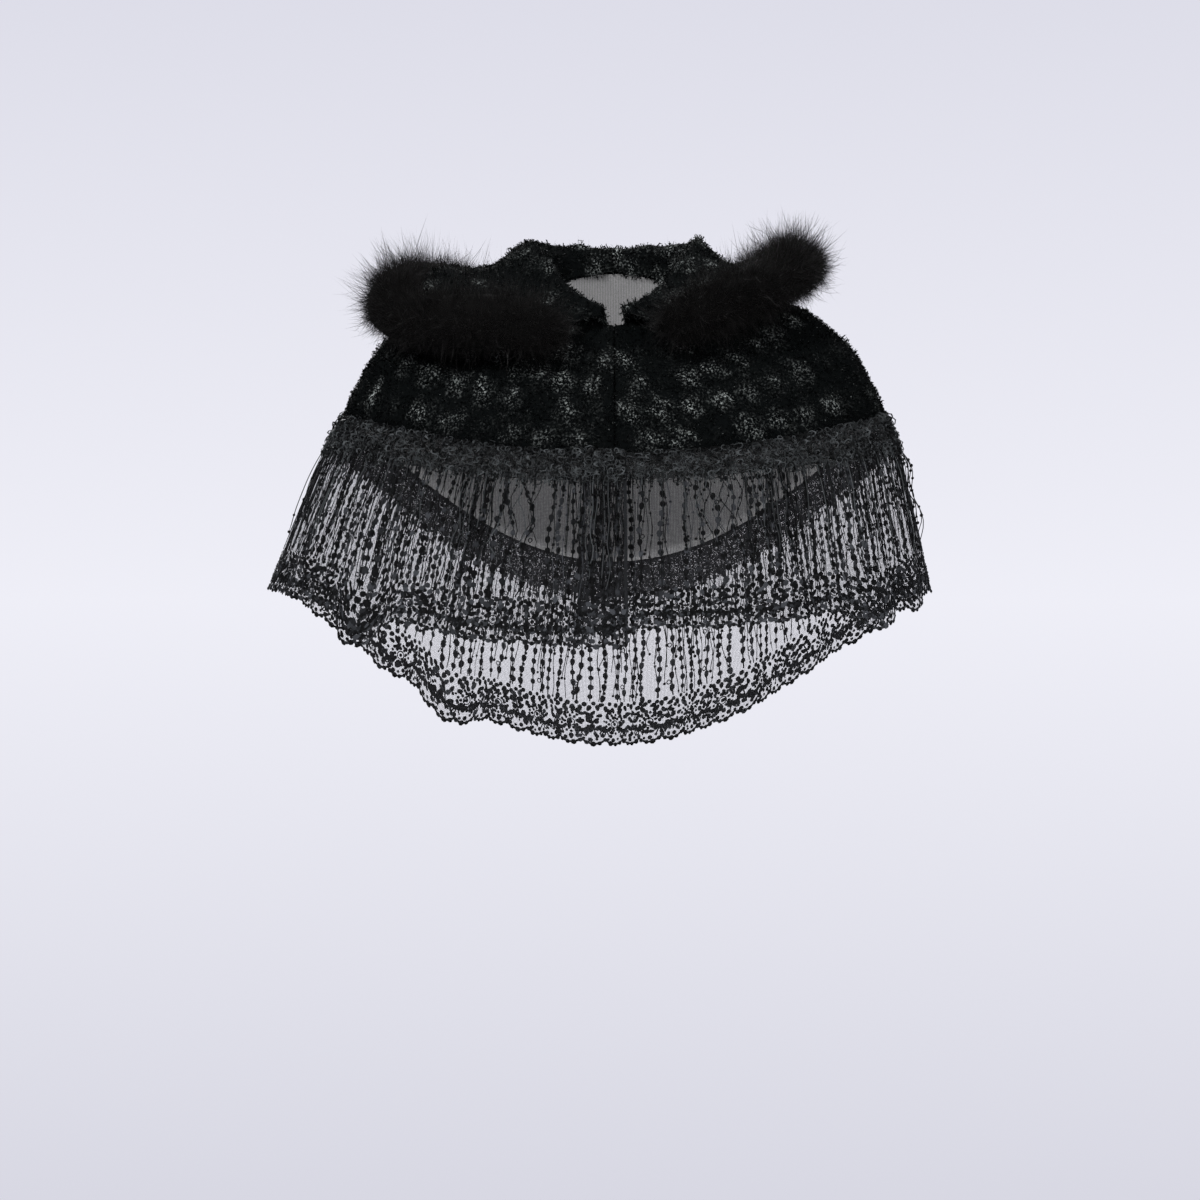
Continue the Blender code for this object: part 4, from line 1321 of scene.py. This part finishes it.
def columns_of_motifs(work, ends, sizes, fillers):
    """Columns of chained motifs, with thin broken lines between them."""
    draw = work.draw
    top = sizes.heading_depth - 0.003
    bottom = HEM_DOWN - BORDER_TOP
    count = round(span(ends, END_MARGIN) / sizes.column_step)
    step = span(ends, END_MARGIN) / count
    for k in range(count):
        run = crowded(ends, (k + 0.5) / count, COLUMN_CROWD)
        run += draw.normal(0, COLUMN_JITTER)
        run = np.clip(run, ends[0] + 0.0036, ends[1] - 0.0036)
        motif_chain(work, run, top, bottom, k % len(CHAIN_STEPS))
        for place in (np.arange(fillers) + 1) / (fillers + 1):
            beside = run + step * place + draw.normal(0, 0.0014)
            if beside <= ends[1] - END_MARGIN:
                thin_line(work, beside, top, bottom)


class CAPELET_OT_embroidery(bpy.types.Operator):
    """Columns of motifs and the leafy border, on the net"""
    bl_idname = "capelet.embroidery"
    bl_label = "Embroidery"

    def execute(self, context):
        look, sizes = workbox(context)
        for name, lace, draw in each_lace():
            work = Embroidery(draw)
            columns_of_motifs(work, lace["ends"], sizes, lace["fillers"])
            border(work, lace["ends"], sizes)
            scallop_edge(work, lace["ends"], sizes)
            lace["embroidery"] = work.piece("embroidery_" + name, lace["shape"],
                                            look.thread, "embroidered_tulle")
        return {"FINISHED"}


# ---------------- heading

HEADING_LIFT = 0.0011
HEADING_TOP_DOWN = 0.0012
HEADING_RARITY = 2.2        # low where many threads have painted sheen
RINGLET_APART = 1.62        # distance between ringlets, in their radius
RINGLET_ROWS_APART = 0.80   # distance between rows, in that distance
RINGLET_RADII = (0.68, 1.12)
RINGLET_THREAD = (0.0007, 0.0011)
RINGLET_TILT = 0.50
LAST_ROW_GAPS = 0.45
TAB_STEP = 0.0042


def ringlets(work, ends, sizes):
    """Ringlets in close, uneven rows, thinning out at the lower edge."""
    draw = work.draw
    step = sizes.ringlet * RINGLET_APART
    rows = int((sizes.heading_depth - HEADING_TOP_DOWN) / (step * RINGLET_ROWS_APART)) + 2
    for layer in range(2):
        for row in range(rows):
            down = HEADING_TOP_DOWN - 0.0005 + row * step * RINGLET_ROWS_APART
            runs = np.arange(ends[0] + sizes.ringlet,
                             ends[1] - sizes.ringlet, step) + (row % 2) * step / 2
            for run in runs + draw.normal(0, 0.0010, len(runs)):
                missing = row == rows - 1 and draw.random() < LAST_ROW_GAPS
                if missing or run > ends[1] - sizes.ringlet:
                    continue
                radius = sizes.ringlet * draw.uniform(*RINGLET_RADII)
                work.ring(run, down + draw.normal(0, 0.0012), radius,
                          draw.uniform(*RINGLET_THREAD), sides=7,
                          tilt=draw.normal(0, RINGLET_TILT, 2),
                          low=0.0002 + 0.0006 * layer)


def tabs(work, ends, depth):
    """Short uneven lengths of thread at the heading's lower edge."""
    draw = work.draw
    for run in np.arange(ends[0] + 0.003, ends[1] - 0.003, TAB_STEP):
        run += draw.normal(0, 0.0009)
        reach = depth + draw.uniform(0.001, 0.009)
        middle = run + draw.normal(0, 0.0006)
        work.line([(run, depth - 0.006), (middle, (depth + reach) / 2),
                   (run + draw.normal(0, 0.0010), reach)], 0.0012, 0.0009, 0.0008)
        work.dot(run, reach, draw.uniform(0.0009, 0.0016))


class CAPELET_OT_heading(bpy.types.Operator):
    """The dense band of ringlets under the yoke"""
    bl_idname = "capelet.heading"
    bl_label = "Ringlet heading"

    def execute(self, context):
        look, sizes = workbox(context)
        for name, lace, draw in each_lace(10):
            band = net_sheet("heading_net_" + name, lace, BAND_ROWS, HEADING_TOP_DOWN,
                             sizes.heading_depth, HEADING_LIFT, look.dense_net)
            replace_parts(band, "heading_" + name)
            work = Embroidery(draw, HEADING_RARITY)
            ringlets(work, lace["ends"], sizes)
            tabs(work, lace["ends"], sizes.heading_depth)
            rings = work.piece("ringlets_" + name, lace["shape"], look.heading,
                               "heading_thread", HEADING_LIFT)
            lace["heading"] = [band, rings]
        return {"FINISHED"}


# ---------------- hanging cords

CORD_STEPS = 18
CORD_SIDES = 3
CORD_ENDS_TAPER = 0.35
CORD_LEAST = 0.085          # how far down the shortest cord ends
CORD_ROOT = 0.007           # how far up in the heading a cord starts
LOOPS_AT, LOOPS_HALF, LOOPS_STAND = 0.385, 0.035, 0.0105
KNOT_SHARE = 0.17           # of a cord's steps
KNOT_RADIUS = (0.0010, 0.0021)


def cord_paths(ends, sizes, draw):
    """Flat paths of the cords: they leave the heading and hang, waving."""
    count = int(span(ends, END_MARGIN) * sizes.cords)
    f = np.linspace(0, 1, CORD_STEPS)
    start = sizes.heading_depth - CORD_ROOT
    paths = []
    for root in crowded(ends, (np.arange(count) + draw.random(count)) / count):
        sway = tangle_at(root) * draw.uniform(0.5, 1.2)
        pitch = draw.uniform(1.4, 5.0)
        drift = draw.normal(0, 0.6) * sway
        run = root + drift * f + sway * f * np.sin(pitch * math.pi * f
                                                   + draw.uniform(0, FULL_TURN))
        run = np.clip(run, ends[0] + 0.002, ends[1] - 0.002)
        end = draw.uniform(CORD_LEAST, HEM_DOWN - BORDER_TOP + 0.006)
        down = start + f * (end - start)
        down += 0.0012 * np.sin(5 * math.pi * f + draw.uniform(0, FULL_TURN)) * f
        stand = 0.0018 + draw.uniform(0.0005, 0.0040) * np.sin(math.pi * f)
        loop = LOOPS_STAND * math.exp(-((root - LOOPS_AT) / LOOPS_HALF)**2)
        stand += loop * draw.random() * np.sin(math.pi * f * 2)**2
        paths.append(np.stack([run, down, stand], -1))
    return np.array(paths)


def tubes(lines, outward, radius):
    """Round cords along lines, closed at both ends by their own taper."""
    count, steps = lines.shape[:2]
    course = unit(np.gradient(lines, axis=1))
    across = unit(np.cross(course, outward))
    up = np.cross(across, course)
    thick = radius * np.ones(steps)
    thick[[0, -1]] *= CORD_ENDS_TAPER
    angle = (np.arange(CORD_SIDES) + 0.5) * 2 * math.pi / CORD_SIDES
    ring = (across[:, :, None] * np.cos(angle)[:, None]
            + up[:, :, None] * np.sin(angle)[:, None]) * thick[:, None, None]
    points = (lines[:, :, None] + ring).reshape(-1, 3)
    start = (np.arange(count)[:, None, None] * steps
             + np.arange(steps - 1)[None, :, None]) * CORD_SIDES
    side = np.arange(CORD_SIDES)
    after = (side + 1) % CORD_SIDES
    quads = np.stack([start + side, start + after, start + CORD_SIDES + after,
                      start + CORD_SIDES + side], -1)
    return points, quads.reshape(-1, 4)


def knots(places, radius):
    """Small round knots at the given places."""
    ball = bmesh.new()
    bmesh.ops.create_icosphere(ball, subdivisions=1, radius=1.0)
    shape = np.array([vertex.co for vertex in ball.verts])
    faces = np.array([[vertex.index for vertex in face.verts] for face in ball.faces])
    ball.free()
    points = places[:, None] + shape * radius[:, None, None]
    starts = np.arange(len(places))[:, None, None] * len(shape)
    return points.reshape(-1, 3), (starts + faces).reshape(-1, 3)


class CAPELET_OT_cords(bpy.types.Operator):
    """Loose knotted cords that hang from the heading"""
    bl_idname = "capelet.cords"
    bl_label = "Hanging cords"

    def execute(self, context):
        look, sizes = workbox(context)
        for name, lace, draw in each_lace(20):
            paths = cord_paths(lace["ends"], sizes, draw)
            lines = on_lace(paths, lace["shape"])
            outward = unit(lines - on_lace(paths * (1, 1, 0), lace["shape"]))
            points, quads = tubes(lines, outward, sizes.cord_radius)
            knotted = draw.random(lines.shape[:2]) < KNOT_SHARE
            knotted[:, -1] = True
            balls, ball_faces = knots(lines[knotted],
                                      draw.uniform(*KNOT_RADIUS, knotted.sum()))
            # Painted sheen, one for each cord
            shine = np.repeat(draw.random(len(lines))**2, len(points) // len(lines))
            cords = new_piece("cords_" + name, np.concatenate([points, balls]),
                              [quads, ball_faces + len(points)], look.heading,
                              {"shine": np.append(shine, np.zeros(len(balls)))})
            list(lace["heading"])
        return {"FINISHED"}


# ---------------- sewing

STITCH_STEP = 0.0042
STITCH_LOW = 0.0001
SEAM_STEPS = 46
TAPE_LIFT = 0.0022          # over the net and its ringlets
YOKE_WALL = 0.0052          # the yoke's outer face, over the form
# The tape's rows: level, and how far it has come over to the yoke
TAPE_ROWS = ((1.012, 0.0), (1.004, 0.15), (0.998, 0.65), (0.990, 1.0))
FACING_WIDTH = 0.016
FACING_BEHIND = 0.0006
FREE_ENDS = (("front_right", 1), ("front_left", 0))


def stitches(work, start, end):
    """A row of short stitches between two flat points."""
    start, end = np.array(start), np.array(end)
    count = int(np.linalg.norm(end - start) / STITCH_STEP)
    for k in range(count):
        near = start + (end - start) * (k + 0.15) / count
        far = start + (end - start) * (k + 0.75) / count
        work.line([near, (near + far) / 2, far], 0.0008, 0.0005, STITCH_LOW)


def sewn_end(work, run, bottom, width, tall):
    """A narrow turned strip down a piece's end."""
    downs = np.linspace(0.001, bottom, SEAM_STEPS)
    work.line(np.stack([np.full(SEAM_STEPS, run), downs], -1), width, tall, STITCH_LOW)


def front_hem(work, ends, end, inward, sizes):
    """A narrow turned hem with its row of stitches, at a front edge."""
    run = ends[end] + inward * 0.0018
    bottom = hem_edge(run, ends, sizes) - 0.002
    sewn_end(work, run, bottom, 0.0034, 0.0006)
    stitches(work, (run + inward * 0.0022, 0.032), (run + inward * 0.0022, bottom))


def side_seam(work, ends, end, inward):
    """Half of a narrow flat seam, at a side."""
    sewn_end(work, ends[end] + inward * 0.0009, HEM_DOWN - SCALLOP_DEPTH, 0.0019, 0.0008)


def seam_tape(lace):
    """Points of the tape that joins a lace's top to the yoke's lower edge."""
    runs = np.linspace(*lace["ends"], round(span(lace["ends"]) / NET_STEP))
    azimuth = np.interp(HEM_RUNS[0] + np.mod(runs - HEM_RUNS[0], HEM_TURN),
                        HEM_RUNS, HEM_AZIMUTHS)
    rows = []
    for level, share in TAPE_ROWS:
        outward = form_normal(azimuth, level)
        outside = lace_point(runs, level, **lace["shape"]) + outward * TAPE_LIFT
        on_yoke = form_point(azimuth, level) + outward * YOKE_WALL
        rows.append(outside * (1 - share) + on_yoke * share)
    return np.array(rows)


def front_facing():
    """Points of the strip behind the yoke's front edges."""
    levels = np.linspace(0.02, 0.99, 30)[:, None]
    across = np.linspace(-1, 1, 5)[None] * FACING_WIDTH / 2
    azimuths = np.degrees(across / np.linalg.norm(form_point(0, levels)[..., :2], axis=-1))
    return form_point(azimuths, levels) - form_normal(azimuths, levels) * FACING_BEHIND


def plain_strip(name, grid, material):
    """A strip of cloth through a grid of points, with no shine."""
    new_piece(name, grid.reshape(-1, 3), [grid_faces(*grid.shape[:2])], material,
              {"shine": np.zeros(grid.size // 3)})


class CAPELET_OT_sewing(bpy.types.Operator):
    """Hems, side seams, and the tape that joins the lace to the yoke"""
    bl_idname = "capelet.sewing"
    bl_label = "Hems and seams"

    def execute(self, context):
        look, sizes = workbox(context)
        for name, lace, draw in each_lace(30):
            work = Embroidery(draw)
            for end, inward in ((0, 1), (1, -1)):
                if (name, end) in FREE_ENDS:
                    front_hem(work, lace["ends"], end, inward, sizes)
                else:
                    side_seam(work, lace["ends"], end, inward)
            work.piece("seams_" + name, lace["shape"], look.thread, "embroidered_tulle")
            plain_strip("tape_" + name, seam_tape(lace), look.thread)
        plain_strip("front_facing", front_facing(), look.plush)
        return {"FINISHED"}


# ---------------- stage

CAMERA_PLACE = (-0.014, -3.2, -0.31)
VIEW_WIDTH = 1.2            # what the camera sees across, at the capelet
SENSOR = 36.0
FLOOR_Z = -1.45
FLOOR_RADIUS = 3.0
FLOOR_FADE = (2.9, 1.2)     # where the floor is gone, and where it is whole
# Background brightness by the height of the view's direction
BACKGROUND = ((0.38, (0.630, 0.630, 0.715)), (0.50, (0.860, 0.860, 0.930)),
              (0.61, (0.700, 0.700, 0.790)))
ROOM_LIGHT = 0.38           # strength of the background as a light
# Soft lights: name, place, size and power in watts
LIGHTS = (
    ("key_light", (-1.5, -2.4, 1.7), 0.7, 120.0),
    ("fill_light", (1.9, -2.2, 0.7), 0.9, 55.0),
    ("top_light", (0.3, 0.7, 2.1), 1.0, 32.0),
    ("back_light", (-0.6, 2.6, 1.0), 1.4, 60.0),
    ("low_light", (0.0, -0.2, -1.35), 0.9, 22.0),
)
LIGHT_AIM = (0.0, 0.0, -0.18)


def background(scene):
    """A pale studio: bright behind the capelet, dimmer as a light on it."""
    world = bpy.data.worlds.new("studio")
    scene.world = world
    world.use_nodes = True
    tree = world.node_tree
    direction = add_node(tree, "TexCoord").outputs["Generated"]
    height = add_node(tree, "SeparateXYZ", Vector=direction).outputs["Z"]
    ramp = add_node(tree, "ValToRGB", Fac=ranged(tree, height, -1.0, 1.0))
    stops = ramp.color_ramp.elements
    stops[0].position, stops[1].position = BACKGROUND[0][0], BACKGROUND[-1][0]
    stops.new(BACKGROUND[1][0])
    for stop, (_, shade) in zip(stops, BACKGROUND):
        stop.color = (*shade, 1)
    seen = add_node(tree, "LightPath").outputs["Is Camera Ray"]
    strength = ranged(tree, seen, 0.0, 1.0, ROOM_LIGHT, 1.0)
    studio = tree.nodes["Background"]
    tree.links.new(ramp.outputs["Color"], studio.inputs["Color"])
    tree.links.new(strength, studio.inputs["Strength"])


def soft_light(scene, name, place, size, power):
    """A round soft light, turned to the capelet."""
    lamp = bpy.data.lights.new(name, "AREA")
    lamp.shape = "DISK"
    lamp.size = size
    lamp.energy = power
    light = bpy.data.objects.new(name, lamp)
    light.location = place
    aim = Vector(LIGHT_AIM) - light.location
    light.rotation_euler = aim.to_track_quat("-Z", "Y").to_euler()
    scene.collection.objects.link(light)


def floor(scene, colours):
    """A pale round floor that fades out at its rim."""
    mesh = bpy.data.meshes.new("floor")
    work = bmesh.new()
    bmesh.ops.create_circle(work, cap_ends=True, radius=FLOOR_RADIUS, segments=96)
    work.to_mesh(mesh)
    work.free()
    material, tree, shader = new_material("studio_floor", tuple(colours.floor), 0.9)
    place = add_node(tree, "TexCoord").outputs["Object"]
    reach = add_node(tree, "VectorMath", {"operation": "LENGTH"}, _0=place)
    tree.links.new(ranged(tree, reach.outputs["Value"], *FLOOR_FADE),
                   shader.inputs["Alpha"])
    mesh.materials.append(material)
    ground = bpy.data.objects.new("floor", mesh)
    ground.location = (0, 0, FLOOR_Z)
    scene.collection.objects.link(ground)
    ground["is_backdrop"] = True


class CAPELET_OT_stage(bpy.types.Operator):
    """Pale floor and background, soft lights and the camera"""
    bl_idname = "capelet.stage"
    bl_label = "Studio stage"

    def execute(self, context):
        scene = context.scene
        background(scene)
        floor(scene, scene.capelet_colours)
        for light in LIGHTS:
            soft_light(scene, *light)
        lens = bpy.data.cameras.new("camera")
        lens.sensor_width = SENSOR
        lens.lens = SENSOR * -CAMERA_PLACE[1] / VIEW_WIDTH
        camera = bpy.data.objects.new("camera", lens)
        camera.location = CAMERA_PLACE
        camera.rotation_euler = (math.pi / 2, 0, 0)
        scene.collection.objects.link(camera)
        scene.camera = camera
        scene.view_settings.view_transform = "Standard"
        return {"FINISHED"}


# ---------------- add-on

OPERATORS = (CAPELET_OT_stage, CAPELET_OT_yoke, CAPELET_OT_hood, CAPELET_OT_trim,
             CAPELET_OT_tulle, CAPELET_OT_embroidery, CAPELET_OT_heading,
             CAPELET_OT_cords, CAPELET_OT_sewing)


class CAPELET_PT_panel(bpy.types.Panel):
    """The capelet's sizes, colours and pieces"""
    bl_idname = "CAPELET_PT_panel"
    bl_label = "Hooded capelet"
    bl_space_type = "VIEW_3D"
    bl_region_type = "UI"
    bl_category = "Capelet"

    def draw(self, context):
        for group in (context.scene.capelet_sizes, context.scene.capelet_colours):
            box = self.layout.box()
            for name in group.__annotations__:
                box.prop(group, name)
        for operator in OPERATORS:
            self.layout.operator(operator.bl_idname)


CLASSES = (CapeletSizes, CapeletColours, *OPERATORS, CAPELET_PT_panel)


def register():
    for cls in CLASSES:
        bpy.utils.register_class(cls)
    bpy.types.Scene.capelet_sizes = PointerProperty(type=CapeletSizes)
    bpy.types.Scene.capelet_colours = PointerProperty(type=CapeletColours)


def unregister():
    del bpy.types.Scene.capelet_colours
    del bpy.types.Scene.capelet_sizes
    for cls in reversed(CLASSES):
        bpy.utils.unregister_class(cls)


def main():
    register()
    for operator in OPERATORS:
        group, name = operator.bl_idname.split(".")
        getattr(getattr(bpy.ops, group), name)()
    boxes = {"model": MODEL_BOX, "looks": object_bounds()}
    {name: [list(corner) for corner in box] for name, box in boxes.items()}


if __name__ == "__main__":
    main()
